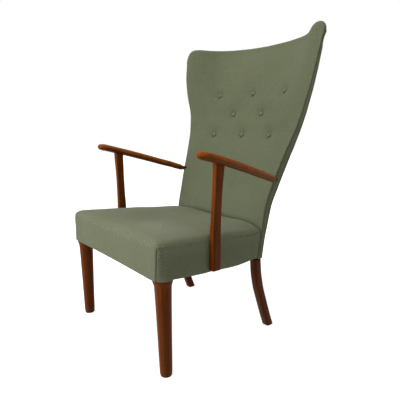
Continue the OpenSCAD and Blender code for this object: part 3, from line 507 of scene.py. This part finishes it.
def post_part():
    """An arm post along the table POST; its top end slopes with the arm."""
    cx, cy = oval(ROUND, 0.42)
    rings = []
    for i, (h, out, size) in enumerate(finer(POST, 8)):
        slope = ARM_SLOPE * (1 - min(1, i / 8))
        z = POST_FOOT + (POST_TOP - POST_FOOT) * h / POST[0, 0]
        b = size * POST_D / 2
        rings.append(points(POST_X + out * POST_FLARE + size * POST_W / 2 * cx,
                            POST_Y - HALF_D + b * cy, z - slope * b * cy))
    return tube(rings)


def rear_leg_part():
    """A rear leg that runs on upwards as a post of the back, along the table REAR."""
    cx, cy = oval(ROUND, 0.45)
    wider = REAR_LEG - STILE_W
    return tube([points(STILE_SIDE - STILE_W / 2 + side * wider + (STILE_W / 2 + w * wider / 2) * cx,
                        y * REACH - HALF_D + d * REAR_LEG * cy, z * HEIGHT)
                 for z, y, side, w, d in finer(REAR, 6)])


def front_leg_part():
    """A turned leg, leaning to its place, with its square head inside the seat."""
    k = np.concatenate([np.linspace(0, 0.012, 8), np.linspace(0.012, 1, 90)[1:]])
    lean = math.atan(LEG_SPLAY / LEG_H)
    turn = Euler((lean, -lean, 0)).to_matrix()
    foot = (LEG_X + LEG_SPLAY, LEG_Y + LEG_SPLAY - 0.8 - HALF_D)
    rings = []
    for h, q in zip(k, smooth(LEG[:, 0], LEG[:, 1], k) * (LEG_D / 2 + 1.6)):
        ring = [turn @ Vector((q * math.cos(a), q * math.sin(a), h * (LEG_H + 4))) for a in angles(56)]
        rings.append([[p.x + foot[0], p.y + foot[1], max(p.z, 0.0)] for p in ring])
    cx, cy = oval(24, 0.16)
    head = [points(256.4 + s * LEG_HEAD / 2 * cx, 31.5 + h * 0.06 - HALF_D + s * LEG_HEAD / 2 * cy, LEG_H + h)
            for h, s in ((-3, 0.4), (9, 0.96), (12, 1), (62, 1), (65, 0.95))]
    return join([tube(rings), tube(head)])


arm_mesh, arm_neck = arm_part()
wooden = (("arm_", arm_mesh, WOOD_Y, arm_neck), ("arm_post_", post_part(), WOOD_Z, None),
          ("rear_leg_", rear_leg_part(), WOOD_REAR_SHADED, None), ("front_leg_", front_leg_part(), WOOD_LEG, None))
for side, tag in SIDES:
    for name, part, material, mask in wooden:
        dress("smooth_" + name + tag, on_side(part, side), material, "stained_beech", name + tag, seam=mask)


# Back upholstery
def edge_at(z, column, table=EDGE):
    return smooth(table[:, 0], table[:, column], np.asarray(z) / HEIGHT)


def edge_x(z):
    """Half the width of the back, with the cloth on it."""
    return edge_at(z, HALF) * HALF_W * 1.006


def top_z(u):
    return smooth(TOP[:, 0], TOP[:, 1], u) * HEIGHT


def out_share(x, z):
    """How far out a place is: 0 in the middle and 1 at the edge."""
    return np.minimum(1, np.abs(x) / edge_x(z))


PLACES = [(across * edge_x(up * HEIGHT), up * HEIGHT) for across, up in BUTTONS]


def hollow_y(x, z, table, top):
    """The front surface from a table of the edge and one of the top line."""
    u = out_share(x, z)
    b = smooth(BLEND[:, 0], BLEND[:, 1], z / HEIGHT) * (z / HEIGHT > BLEND[0, 0])
    share = (1 - b) * (1 - u ** edge_at(z, POWER, table)) + b * smooth(top[:, 0], top[:, 2], u)
    return edge_at(z, DEPTH, table) * REACH + edge_at(z, HOLLOW, table) * WING * share


def plain_y(x, z):
    """Front of the cloth without tufts and folds."""
    return hollow_y(x, z, CLOTH_EDGE, CLOTH_TOP)


def thick(x, z, table):
    t, m = edge_at(z, BORDER, table), edge_at(z, MIDDLE, table)
    return BACK_T * (t + (m - t) * (1 - out_share(x, z) ** 6))


def full_t(x, z):
    """Thickness of the upholstery, from its front to the rear of the frame."""
    return hollow_y(x, z, REAR_EDGE, TOP) + thick(x, z, REAR_EDGE) - plain_y(x, z)


def frame_y(x, z):
    """Front of the back's wooden frame, which carries the straps and the hessian."""
    deep = np.maximum(0, thick(x, z, EDGE) - 5 * CLOTH_T - BACK_FRAME_T - 2 * GAP)
    return hollow_y(x, z, EDGE, TOP) + 4 * CLOTH_T + deep * np.maximum(0, 1 - (out_share(x, z) / 0.62) ** 4)


def tuft(x, z):
    """Depth of the pulls at the buttons: a wide dish, a tight dimple and faint folds between them."""
    wide = np.zeros_like(x)
    for px, pz in PLACES:
        d = np.hypot(x - px, z - pz)
        wide = np.maximum(wide, 4.6 * bell(d, 38) + 4.4 * bell(d, 16))
    fold = np.zeros_like(x)
    for a, b in FOLDS:
        (ax, az), (bx, bz) = PLACES[a], PLACES[b]
        lx, lz = bx - ax, bz - az
        t = np.clip(((x - ax) * lx + (z - az) * lz) / (lx * lx + lz * lz), 0, 1)
        d = np.hypot(x - ax - t * lx, z - az - t * lz)
        fold = np.maximum(fold, 1.1 * bell(d, 13) * (1 - 0.5 * np.sin(math.pi * t)))
    return wide + fold * (1 - wide / TUFT_DEPTH)


def ease(x, z):
    """Slow unevenness of stretched cloth over padding."""
    return (0.7 * np.sin(x / 47 + 1.3) * np.sin(z / 58 + 0.4)
            + 0.45 * np.sin(x / 23 - z / 31 + 2.1) + 0.3 * np.sin(x / 13 + z / 90))


def front_y(x, z):
    """Front of the cloth, with its tufts, the tuck behind the seat and a faint fold low on one side."""
    u = out_share(x, z)
    under = step(378, 352, z) * (1 - u ** 3) * 9
    tuck = 8 * bell(z - 376, 13) * (1 - u ** 3)
    quiet = (1 - u ** 6) * step(400, 450, z)
    fold = 2.2 * bell(x - 176 + 0.10 * (z - 420), 8) * step(520, 440, z)
    return plain_y(x, z) + tuft(x, z) + np.maximum(under, tuck) + ease(x, z) * quiet + fold


def seam_places(t):
    """How far the front seam is behind the front of the side, and the rear seam before its rear."""
    return min(5.5, 0.30 * t), min(6.0, 0.22 * t)


def soft_edge(face, reach, end, extra):
    """A face, from the middle outwards, whose last part bends round its corner to end."""
    keep = int(np.searchsorted(-lengths(face[::-1])[::-1], -reach))
    t = np.linspace(0, 1, len(face) - keep + extra)[:, None]
    soft = (1 - t) ** 2 * face[keep] + 2 * t * (1 - t) * face[-1] + t ** 2 * end
    return np.vstack([face[:keep], soft])


def whole(half):
    """A closed ring from its half at the positive side; the other is its mirror image."""
    other = np.array(half)[-2:0:-1]
    other[:, 0] *= -1
    return np.vstack([half, other])


US = np.concatenate([np.linspace(0, 0.86, 54), np.linspace(0.86, 1, 17)[1:]])
Z_LOW, Z_SHOULDER, Z_BORDER = 0.2525 * HEIGHT, 0.93 * HEIGHT, 0.972 * HEIGHT
# The skin lies this far inside the side border and the rear cover, which is PANEL_T thick
SKIN_SIDE_IN, SKIN_REAR_IN, PANEL_T = 2.4, 4.2, 2.6
# The groove behind the seam of the front cover: how deep, and how far towards the rear
GROOVE = ((0.12, 0.04), (0.5, 0.07), (0.9, 0.10), (1, 0.18), (1, 0.5), (1, 0.8))


def row_heights(plain, bent, top):
    """Heights of rows at every column: level ones, and above the shoulder ones that bend to the top."""
    return ([np.full(len(US), z) for z in np.linspace(Z_LOW, Z_SHOULDER, plain)]
            + [Z_SHOULDER + (top - Z_SHOULDER) * k for k in np.linspace(0, 1, bent)[1:]])


def back_rings():
    """Rings of the back's skin, and the mask of their points: the seam, and painted shade in the groove
    behind it.
    """
    rings, seams_and_shading = [], []
    top = top_z(US)
    rows = [(z, 0.0) for z in row_heights(112, 11, top - ROLL_H)]
    rows += [(top - ROLL_H * (1 - math.sin(a)), 1 - math.cos(a)) for a in np.linspace(0, math.pi / 2, 9)[1:]]
    for z, shrink in rows:
        x = US * edge_x(z)
        t = full_t(x, z)
        done = step(Z_BORDER - 50, Z_BORDER + 4, z[-1])
        side_in = SKIN_SIDE_IN * (1 - done)
        yf = front_y(x, z)
        yr = plain_y(x, z) + t - SKIN_REAR_IN * (1 - step(-ROLL_H - 6, -ROLL_H, z - top))
        mid = (yf + yr) / 2
        front = points(x, mid + (yf - mid) * (1 - shrink), z)
        tail = points(x, mid + (yr - mid) * (1 - shrink), z)[::-1]
        seam = front[-1] + [0, seam_places(t[-1])[0] * (1 - shrink), 0]
        depth = tail[0, 1] - seam[1]
        groove = np.array([[front[-1, 0] - side_in * k, seam[1] + depth * s, seam[2]] for k, s in GROOVE])
        near = np.arange(len(tail))
        curl = np.clip(1 - near / 3.5, 0, 1) ** 2 * done
        tail[:, 0] -= side_in * np.clip(1 - near / 14, 0, 1) ** 2 + 1.4 * curl
        tail[:, 1] -= 2.8 * curl * (1 - shrink)
        rings.append(whole(np.vstack([soft_edge(front, min(8.0, 0.42 * t[-1]), seam, 4), groove, tail])))
        # Dark thread at the seam point; painted shade in the groove, which fades out towards the top.
        mask = np.concatenate([np.zeros(len(US) + 3), [0.6], np.ones(len(GROOVE)) * (1 - done) ** 4,
                               np.zeros(len(US))])
        seams_and_shading.append(np.concatenate([mask, mask[-2:0:-1]]))
    return np.array(rings) - [0, HALF_D, 0], np.array(seams_and_shading)


def back_part():
    """The back's skin of cloth over padding, with painted shade in dark rims below the buttons, and painted
    shade and light by height.
    """
    rings, seams_and_shading = back_rings()
    x, y, z = np.moveaxis(rings, 2, 0)
    facing = y + HALF_D < plain_y(x, z) + TUFT_DEPTH + 6
    # Painted shade round each button: a dark rim, strongest below it, and a faint shade in its dimple, on the
    # front only.
    for px, pz in PLACES:
        d = np.hypot(x - px, (z - pz) * 1.05)
        rim = 0.95 * np.where(z < pz, 1.0, 0.72) * bell(d - 8.8, 1.9)
        seams_and_shading = np.maximum(seams_and_shading, np.maximum(rim, 0.10 * bell(d, 20)) * facing)
    # Painted shade higher up the back, and painted light low down.
    seams_and_shading = seams_and_shading + 0.07 * step(600, 760, z) - 0.13 * step(560, 440, z)
    return tube(rings, cloth_uv(rings), "strip"), seams_and_shading.reshape(-1)


def border_part():
    """The side border, a sewn strip between the front seam and the rear seam, and its mask: dark seam lines,
    painted shade on the edges turned in, and painted light higher up.
    """
    end = top_z(1.0)
    s = np.linspace(0, 1, 15)

    def section(z):
        x = edge_x(z)
        t, y = full_t(x, z), front_y(x, z)
        behind, before = seam_places(t)
        y0, y1 = y + behind + 1, y + t - before - 1
        keep = math.cos(math.asin(min(1, max(0, 1 - (end - z) / ROLL_H))))
        y0, y1 = (y0 + y1) / 2 - (y1 - y0) / 2 * keep, (y0 + y1) / 2 + (y1 - y0) / 2 * keep
        sunk = step(end - 38, end - 12, z)
        crown = 1.3 * np.abs(2 * s - 1) ** 2.5 - 0.6 + 2 * sunk * (1 - 0.8 * s ** 2)
        hidden = x - 2.2 * sunk
        return np.vstack([
            points(x - crown, y0 + (y1 - y0) * s, z),
            [[hidden - 1.6, y1 + 0.4, z], [hidden - 2.4, y1 - 0.4, z]],
            points(hidden - 2.6, np.linspace(y1 - 1, y0 + 1, 7), z),
            [[hidden - 2.4, y0 + 0.4, z], [hidden - 1.6, y0 - 0.4, z]]])

    rows = np.concatenate([np.linspace(Z_LOW + 0.3, end - 12, 116), np.linspace(end - 12, end - 0.3, 12)[1:]])
    rings = np.array([section(z) for z in rows]) - [0, HALF_D, 0]
    seams_and_shading = np.zeros(rings.shape[1])
    # Dark seam lines at the strip's edges, and painted shade on its turned-in edges.
    seams_and_shading[[0, 14]], seams_and_shading[[1, 13]], seams_and_shading[15:] = 1.0, 0.35, 1.0
    # The marks fade out near the top, and the strip is painted lighter higher up, as painted light.
    seams_and_shading = seams_and_shading * (1 - 0.9 * step(end - 46, end - 22, rows))[:, None] - 0.48 * step(600, 860, rows)[:, None]
    return tube(rings, cloth_uv(rings)), seams_and_shading.reshape(-1)


def rear_part():
    """The rear cover, wrapped round the rear corners to the side seams."""
    rings = []
    for z in row_heights(84, 9, top_z(US) - ROLL_H - 0.8):
        x = US * edge_x(z)
        t = full_t(x, z)
        tip = step(-62, -ROLL_H - 18, z[-1] - top_z(1.0)) * US ** 8
        rear = points(x - 1.6 * tip, plain_y(x, z) + t - 2.6 * tip, z)
        end = rear[-1] - [0, seam_places(t[-1])[1], 0]
        outer = soft_edge(rear, 9.0, end, 3)
        inner = outer[::-1].copy()
        near = np.clip(1 - np.arange(len(inner)) / 10, 0, 1)
        inner[:, 1] += (PANEL_T + 0.8) * near - PANEL_T
        inner[:, 0] -= 2.8 * near
        rings.append(whole(np.vstack([outer, [end - [1.4, 0.6, 0], end - [2.8, -0.4, 0]], inner])))
    rings = np.array(rings) - [0, HALF_D, 0]
    return tube(rings, cloth_uv(rings), "strip")


back_mesh, back_seams_and_shading = back_part()
back = dress("back_upholstery", back_mesh, SAGE, "sage_wool", "back_front_cover", "back_padding",
             seam=back_seams_and_shading)
border_mesh, border_seams_and_shading = border_part()
for side, tag in SIDES:
    dress("border_strip_" + tag, on_side(border_mesh, side), SAGE_SIDE, "sage_wool",
          "back_side_border_" + tag, seam=border_seams_and_shading)
dress("rear_panel", rear_part(), SAGE, "sage_wool", "back_rear_cover")


def button_part():
    """The covered buttons, each turned out of the cloth's surface, on a short shank."""
    parts = []
    for px, pz in PLACES:
        y0, y, y1 = (plain_y(px + d, pz) for d in (-BUTTON_D, 0, BUTTON_D))
        turn = math.atan((y1 - y0) / (2 * BUTTON_D))
        place = Euler((0, 0, turn)).to_matrix() @ Euler((math.radians(90 - RECLINE), 0, 0)).to_matrix()
        base = Vector((px, y + TUFT_DEPTH - HALF_D, pz))
        parts.append(tube([[tuple(base + place @ Vector((r * math.cos(a), r * math.sin(a), h + 1.6)))
                            for a in angles(36)] for r, h in BUTTON_SHAPE], caps=False))
    return join(parts)


dress("covered_buttons", button_part(), BUTTON, "button_wool", "back_buttons")


# Seat upholstery
def seat_half(s):
    """Half the width of the seat, at a distance back from its front edge."""
    return SEAT_HALF * smooth(SEAT_SIDE[:, 0], SEAT_SIDE[:, 1], np.asarray(s, float) / SEAT_D)


def seat_outline():
    """Closed outline of the seat in plan, from the middle of the front."""
    head = seat_half(0) - CORNER_R
    pts = [(x, 0.0) for x in np.linspace(0, head, 40)[:-1]]
    pts += [(head + CORNER_R * math.cos(w), CORNER_R * (1 + math.sin(w)))
            for w in np.linspace(-math.pi / 2, 0, 19)[:-1]]
    s = np.linspace(CORNER_R, SEAT_D - 3, 64)
    pts += list(zip(seat_half(s), s))
    f = np.linspace(0.985, 0, 36)
    pts += list(zip(f * seat_half(SEAT_D), SEAT_D + REAR_BOW * (1 - f * f)))
    return whole(pts)


def seated(x, s, h):
    """A point of the seat, across, back and up from its lower front edge, in the frame's place."""
    c, d = math.cos(math.radians(SEAT_TILT)), math.sin(math.radians(SEAT_TILT))
    return points(x, s * c + h * d - HALF_D, h * c - s * d + SEAT_UNDER)


def seat_part():
    """The seat's skin of cloth over padding, and its mask: the dark corner seam, painted shade in the
    puckers, at the crease by the back, on the sides and mid-top, and a band of painted light near the front.
    """
    line = seat_outline()
    n = len(line)
    x0, s0 = line.T
    wide = np.abs(x0)
    full = 1 - SEAT_EDGE / SEAT_MID
    rise = np.concatenate([np.linspace(0.03, full, 34),
                           full + (1 - full) * np.sin(np.linspace(0, math.pi / 2, 26))[1:]])
    sides = np.linspace(1, 0, 34)[1:]
    turn = CORNER_R * (1 - math.sqrt(0.5))
    seam_x = seat_half(0) - turn
    seam = np.hypot(wide - seam_x, s0 - turn)
    normal = np.roll(line, -1, axis=0) - np.roll(line, 1, axis=0)
    normal = np.stack([normal[:, 1], -normal[:, 0]], axis=1)
    normal /= np.linalg.norm(normal, axis=1)[:, None]
    edge = SEAT_SIDE_EDGE + (SEAT_EDGE - SEAT_SIDE_EDGE) * step(50, 4, s0)
    edge += (SEAT_REAR_EDGE - SEAT_SIDE_EDGE) * step(SEAT_D - 70, SEAT_D + 4, s0)
    edge *= 1 - 0.42 * bell(seam, 42)
    start = 1 - edge / (SEAT_MID + (SEAT_HALF - SEAT_MID) * step(4, 50, s0))
    at_post = bell(s0 - POST_Y, 25, 6) * (wide > 200)
    rings, masks = [], []

    def scaled(k):
        """The outline at a share k of its size about the seat's middle."""
        return x0 * k, SEAT_MID + (s0 - SEAT_MID) * k

    def lay(k, h, out=0.0, dip=0.0):
        """Adds a ring at a share k of the outline and a height h, moved outwards and up."""
        h = h + np.zeros(n)
        x, s = scaled(k)
        behind = np.clip((s - SEAT_MID) / SEAT_MID, 0, 2)
        s = s - SEAT_D * 0.02 * (1 - np.minimum(1, h / SEAT_TOP)) * behind ** 4
        on_seam = step(SEAT_TOP * 0.90, SEAT_TOP * 0.80, h) * (k > 0.93)
        pucker = (1.3 * bell(seam, 11) * (wide > seam_x) * (0.3 + 0.7 * step(45, 70, h))
                  * np.sin(h / 1.45 + 0.4 * np.sin(h / 5)) * step(1, 5, seam) * (k > 0.97))
        body = 0.55 + 0.45 * np.sin(math.pi * np.clip(h / SEAT_TOP, 0, 1) ** 0.8)
        body = SEAT_FULL * k * body * (1 - at_post) * step(SEAT_D + 10, SEAT_D - 30, s0)
        body = body + 4 * bell(seam, 45) * step(35, 90, h) * min(1, k) ** 8
        out = out - 1.9 * bell(seam, 1.7) * on_seam + pucker + body
        rings.append(points(x + normal[:, 0] * out, s + normal[:, 1] * out, h + dip))
        # Dark thread along the corner seam, and painted shade in the puckers' hollows.
        masks.append(np.clip(bell(seam, 0.8) * on_seam - 0.45 * np.clip(pucker, None, 0), 0, 1))

    # Top
    for k in rise:
        q = np.clip((k - start) / (1 - start), 0, 1)
        h = SEAT_TOP + SEAT_CROWN * (1 - k ** 2.3) - edge * (1 - np.sqrt(1 - q * q))
        x, s = scaled(k)
        wave = 0.8 * np.sin(x / 52 + 0.6) * np.sin(s / 41 + 1.1) + 0.4 * np.sin(x / 27 + s / 33)
        wave *= 1 - k ** 6
        wave -= SEAT_DISH * bell(x, 150) * bell(s - 190, 105)
        wave += step(250, 400, s) * (4 * bell(np.abs(x) - 150, 60) - 8 * step(195, 262, np.abs(x)))
        crease = bell(s - 92 - 0.10 * x, 5) * bell(x + 52, 22)
        lay(k, h, dip=wave - crease)
    # Sides: the lower edge arches in front, rises behind and is let out at the legs
    arch = 2 * np.clip(1 - (x0 / 245) ** 2, 0, 1) * (s0 < 1)
    wrap = 0.5 * bell(np.hypot(wide - LEG_X, s0 - LEG_Y), 41, 8) + 3 * step(SEAT_D - 220, SEAT_D - 20, s0)
    wrap -= 3.5 * bell(s0 - 325, 62)
    past = LEG_X + np.sqrt(np.clip(31 ** 2 - (s0 - LEG_Y) ** 2, 0, None)) - seat_half(s0) - 2.5
    bulge = np.where((s0 > 1) & (s0 < 66), np.clip(past, 0, None), 0)
    for up in sides:
        low = 1 - up
        lay(1.0, (SEAT_TOP - edge) * up, bulge * low ** 5, arch * low ** 3 + wrap * low ** 8)
    # Turned edge, then the inner wall
    foot = rings[-1]
    flap = 13 * (s0 < 1) * step(240, 228, wide)
    for off, under, up in TURN_UNDER:
        inward = off + under * flap
        rings.append(foot - points(normal[:, 0] * inward, normal[:, 1] * inward, -up))
        masks.append(masks[-1])
    for h in (8, 16, 28, 50, 73):
        low = 1 - h / (SEAT_TOP - SEAT_EDGE)
        lay(1.0, h, bulge * max(0, low) ** 5 - 3.8)
    shape = seated(*np.moveaxis(np.array(rings), 2, 0))
    tuck = shape[..., 1] + HALF_D - front_y(shape[..., 0], shape[..., 2])
    # Painted shade along the crease where the seat meets the back.
    mask = np.maximum(masks, 0.8 * bell(tuck, 3))
    # Painted shade on the lower sides of the seat, and a little painted light at their top.
    side_shade = step(4, 14, s0) * step(SEAT_D - 2, SEAT_D - 8, s0)
    top, low = len(rise), len(rise) + len(sides)
    mask[top:low] += side_shade * (0.15 - 0.20 * step(0.6, 1, sides))[:, None]
    uv = []
    for i, k in enumerate(rise):
        x, s = scaled(k)
        # A band of painted light near the front of the top on one side; painted shade in the middle of the
        # top and in a band across it.
        painted_light = 0.46 * bell(x - 145, 110, 4) * bell(s - 95, 72)
        mask[i] += 0.06 * bell(x, 150, 4) * step(40, 110, s) + 0.04 * bell(s - 215, 45) - painted_light
        uv.append(np.stack([x, s], axis=1))
    uv += [np.stack([lengths(line), np.full(n, 3.0 * i)], axis=1) for i in range(len(shape) - top)]
    return tube(shape, uv), mask.reshape(-1)


seat_mesh, seat_seams_and_shading = seat_part()
seat = dress("seat_upholstery", seat_mesh, SEAT_WOOL_PAINTED_LIGHT, "sage_wool", "seat_cover", "seat_padding",
             seam=seat_seams_and_shading)


# Straps, hessian, cover below and twines
def ribbon(middle, side, thickness):
    """A woven strap along middle; side is the way across it, half the width long."""
    cx, ct = oval(16, 0.35)
    up = np.cross(np.gradient(middle, axis=0), side)
    up /= np.linalg.norm(up, axis=1)[:, None]
    return tube([m + np.outer(cx, d) + np.outer(ct * thickness / 2, n) for m, d, n in zip(middle, side, up)])


def weave(at, places, first):
    """Height of a strap that goes over and under the straps at the places."""
    h = np.zeros(len(at))
    for i, q in enumerate(places):
        h += (1 if (i + first) % 2 else -1) * bell(at - q, 26, 4)
    return MID_H + h * (STRAP_T + GAP) / 2


STRAP_LOW = CLOTH_T + RAIL_H + GAP
MID_H = STRAP_LOW + STRAP_T + GAP / 2
AT_RAIL = STRAP_LOW + STRAP_T / 2 - MID_H
SEAT_BACK = 0.986 * SEAT_D + RAIL_T / 2
CROSS_S = np.array([0.2, 0.4, 0.6, 0.8]) * SEAT_D
LONG_X = np.array([-0.62, -0.21, 0.21, 0.62]) * seat_half(SEAT_D)
cross_parts, long_parts = [], []
for i, q in enumerate(CROSS_S):
    half = seat_half(q) - 2.6 * CLOTH_T
    x = np.linspace(-half, half, 120)
    h = weave(x, LONG_X, i) + AT_RAIL * step(half - 22, half - 8, np.abs(x))
    cross_parts.append(ribbon(seated(x, q, h), np.tile([0, STRAP_W / 2, 0], (len(x), 1)), STRAP_T))
for j, q in enumerate(LONG_X):
    s = np.linspace(4 * CLOTH_T, SEAT_BACK - CLOTH_T, 120)
    h = weave(s, CROSS_S, j + 1) + AT_RAIL * (step(30, 14, s) + step(s[-1] - 16, s[-1] - 4, s))
    long_parts.append(ribbon(seated(q, s, h), np.tile([STRAP_W / 2, 0, 0], (len(s), 1)), STRAP_T))
dress("woven_straps_cross", join(cross_parts), JUTE, "jute", "seat_webbing_cross")
dress("woven_straps_long", join(long_parts), JUTE, "jute", "seat_webbing_long")


def flat_sheet(outline, low, sag):
    """A thin sheet on an outline in the seat's plan; sag gives its height from x, s and the share out."""
    rows = np.linspace(0.02, 1, 30)
    mid = np.array([0, SEAT_MID])
    rings, flat = [], []
    for k, drop in [(k, 0.0) for k in rows] + [(k, SHEET_T * 0.7) for k in rows[::-1]]:
        flat.append(mid + (outline - mid) * k)
        x, s = flat[-1].T
        rings.append(seated(x, s, low + sag(x, s, k) - drop))
    return tube(rings, flat)


def over_straps(x, s, k):
    """The hessian lies on the cross straps and sinks a little between them."""
    on = np.max([bell(s - q, 27, 6) for q in CROSS_S], axis=0)
    return (0.5 * on + 0.25 * np.sin(x / 17) * np.sin(s / 21)) * (1 - k ** 8)


def hang(x, s, k):
    """The cover below hangs a little, with puckers at its tacks."""
    pull = 0.35 * np.sin(x / 8.5) * np.cos(s / 9.5) * k ** 10
    return -2.2 * (1 - k ** 3) + pull * (k < 0.999) - 0.3 * np.sin(x / 60 + s / 75) * (1 - k ** 4)


shrink = 1 - 2.6 * CLOTH_T / np.array([SEAT_HALF, SEAT_MID])
plan = [0, SEAT_MID] + (seat_outline() - [0, SEAT_MID]) * shrink
hessian = dress("hessian_cloth", flat_sheet(plan, STRAP_LOW + 2 * STRAP_T + 2 * GAP + SHEET_T, over_straps),
                HESSIAN, "jute", "seat_hessian")

# The cover below goes round the front legs and between the rear posts
LEG_HOLE, LEG_MID, POST_IN = LEG_FLARE / 2 + CLOTH_T, LEG_X + LEG_SPLAY, STILE_SIDE - STILE_W - GAP
right = [(w * (LEG_MID - LEG_HOLE), 5 * CLOTH_T) for w in np.linspace(0, 1, 40)]
right += [(LEG_MID + LEG_HOLE * math.cos(w), LEG_Y + LEG_HOLE * math.sin(w))
          for w in np.linspace(math.pi, math.pi / 2, 14)[1:]]
right = [p for p in right if p[0] < seat_half(p[1]) - 1.6 * CLOTH_T]
right += [(seat_half(s) - 1.6 * CLOTH_T, s) for s in np.linspace(right[-1][1] + 6, 0.94 * SEAT_D, 40)]
right += [(POST_IN, s) for s in np.linspace(0.94 * SEAT_D, SEAT_BACK, 6)]
right += [(w * POST_IN, SEAT_BACK) for w in np.linspace(0.95, 0, 20)]
under = whole(right)
cambric = dress("cambric_cover", flat_sheet(under, CLOTH_T - GAP, hang), CAMBRIC, "black_cambric",
                "dust_cover")

# Back straps and hessian, on the curved frame
ROWS = np.linspace(0.366, 0.93, 90) * HEIGHT
STRAP_GAP = 2.5 * GAP
STRAP_X = np.array([-0.5, -0.14, 0.14, 0.5]) * (STILE_SIDE - STILE_W)
strap_parts = []
for q in STRAP_X:
    x = np.full(len(ROWS), q)
    middle = points(x, frame_y(x, ROWS) - STRAP_GAP - STRAP_T / 2 - HALF_D, ROWS)
    side = points(1.0, (frame_y(x + 5, ROWS) - frame_y(x - 5, ROWS)) / 10, 0 * x) * STRAP_W * 0.4
    strap_parts.append(ribbon(middle, side, STRAP_T * 0.9))
dress("woven_straps_back", join(strap_parts), JUTE, "jute", "back_webbing")

COLUMNS = np.linspace(-0.63, 0.63, 61)
height = np.repeat(ROWS[:, None], len(COLUMNS), axis=1)
across = COLUMNS * edge_x(height)
out = STRAP_T + STRAP_GAP + 2 * GAP + 0.3 * SHEET_T + HALF_D
front = points(across, frame_y(across, height) - out, height)
for q in STRAP_X:
    front[..., 1] -= 0.4 * bell(across - q, 20, 6)
sheet_rings = np.concatenate([front, front[:, ::-1] - [0, SHEET_T * 0.7, 0]], axis=1)
backing = dress("hessian_back", tube(sheet_rings, cloth_uv(sheet_rings), "fold"), HESSIAN, "jute",
                "back_hessian")


def twine_part():
    """A two-strand twisted twine behind each button, through the hessian."""
    parts = []
    for px, pz in PLACES:
        y = hollow_y(px, pz, EDGE, TOP) + TUFT_DEPTH - HALF_D
        for phase in (0, math.pi):
            rings = []
            for t in np.linspace(0, 1, 50):
                a = phase + t * 22
                x, z = px + 3 + TWINE_R * math.cos(a), pz + 2 + TWINE_R * math.sin(a)
                rings.append([(x + TWINE_R * math.cos(v), y + 1.5 + TWINE_L * t, z + TWINE_R * math.sin(v))
                              for v in angles(10)])
            parts.append(tube(rings))
    return join(parts)


dress("twisted_twines", twine_part(), TWINE, "twine", "button_twines")

# Stage, light and camera
floor_mesh = bpy.data.meshes.new("floor")
floor_mesh.from_pydata([(-9, -9, 0), (9, -9, 0), (9, 9, 0), (-9, 9, 0)], [], [(0, 1, 2, 3)])
floor = put("floor", floor_mesh)
paper = Finish("pale_floor", Roughness=0.9, Specular_IOR_Level=0.1, Base_Color=colour(236, 236, 236))
away = paper.add("VectorMath", {"operation": "LENGTH"}, i0=paper.add("TexCoord").outputs["Object"])
far = paper.add("MapRange", Value=away.outputs["Value"], From_Min=0.5, From_Max=2.2, To_Min=0.78)
glow = paper.add("Emission", Strength=far.outputs[0])
both = paper.add("AddShader", i0=paper.bsdf.outputs[0], i1=glow.outputs[0])
pick = paper.add("MixShader", i0=paper.seen(), i1=paper.bsdf.outputs[0], i2=both.outputs[0])
paper.feed(paper.tree.nodes["Material Output"].inputs["Surface"], pick.outputs[0])
floor_mesh.materials.append(paper.mat)

world = bpy.data.worlds.new("studio")
world.use_nodes = True
bpy.context.scene.world = world
sky = Nodes(world.node_tree)
soft_light = sky.tree.nodes["Background"]
sky.feed(soft_light.inputs["Color"], (1, 0.99, 0.955, 1))
sky.feed(soft_light.inputs["Strength"], 0.27)
white = sky.add("Background", Color=(1, 1, 1, 1))
pick = sky.add("MixShader", i0=sky.seen(), i1=soft_light.outputs[0], i2=white.outputs[0])
sky.feed(sky.tree.nodes["World Output"].inputs["Surface"], pick.outputs[0])


def lamp(name, where, at, size, watts):
    """A square lamp that looks from one place at another."""
    data = bpy.data.lights.new(name, "AREA")
    data.shape = "RECTANGLE"
    data.size = data.size_y = size
    data.energy = watts
    turn = (Vector(at) - Vector(where)).to_track_quat("-Z", "Y").to_euler()
    put(name, data, where, turn)


lamp("key", (-0.35, -2.5, 1.35), (0, -0.1, 0.5), 1.5, 35)
lamp("top", (0.2, -0.4, 2.9), (0, 0, 0.4), 1.6, 29)
lamp("rear", (-0.6, 2.6, 1.5), (0, 0.2, 0.6), 1.6, 12)

camera_data = bpy.data.cameras.new("camera")
camera_data.lens = 36.847
camera_data.sensor_width = 36.0
yaw, pitch = math.radians(51.522), math.radians(10.002)
camera = put("camera", camera_data, (1.2099, -0.96013, 0.7273), (math.pi / 2 - pitch, 0, yaw))
bpy.context.scene.camera = camera
bpy.context.scene.view_settings.view_transform = "Standard"
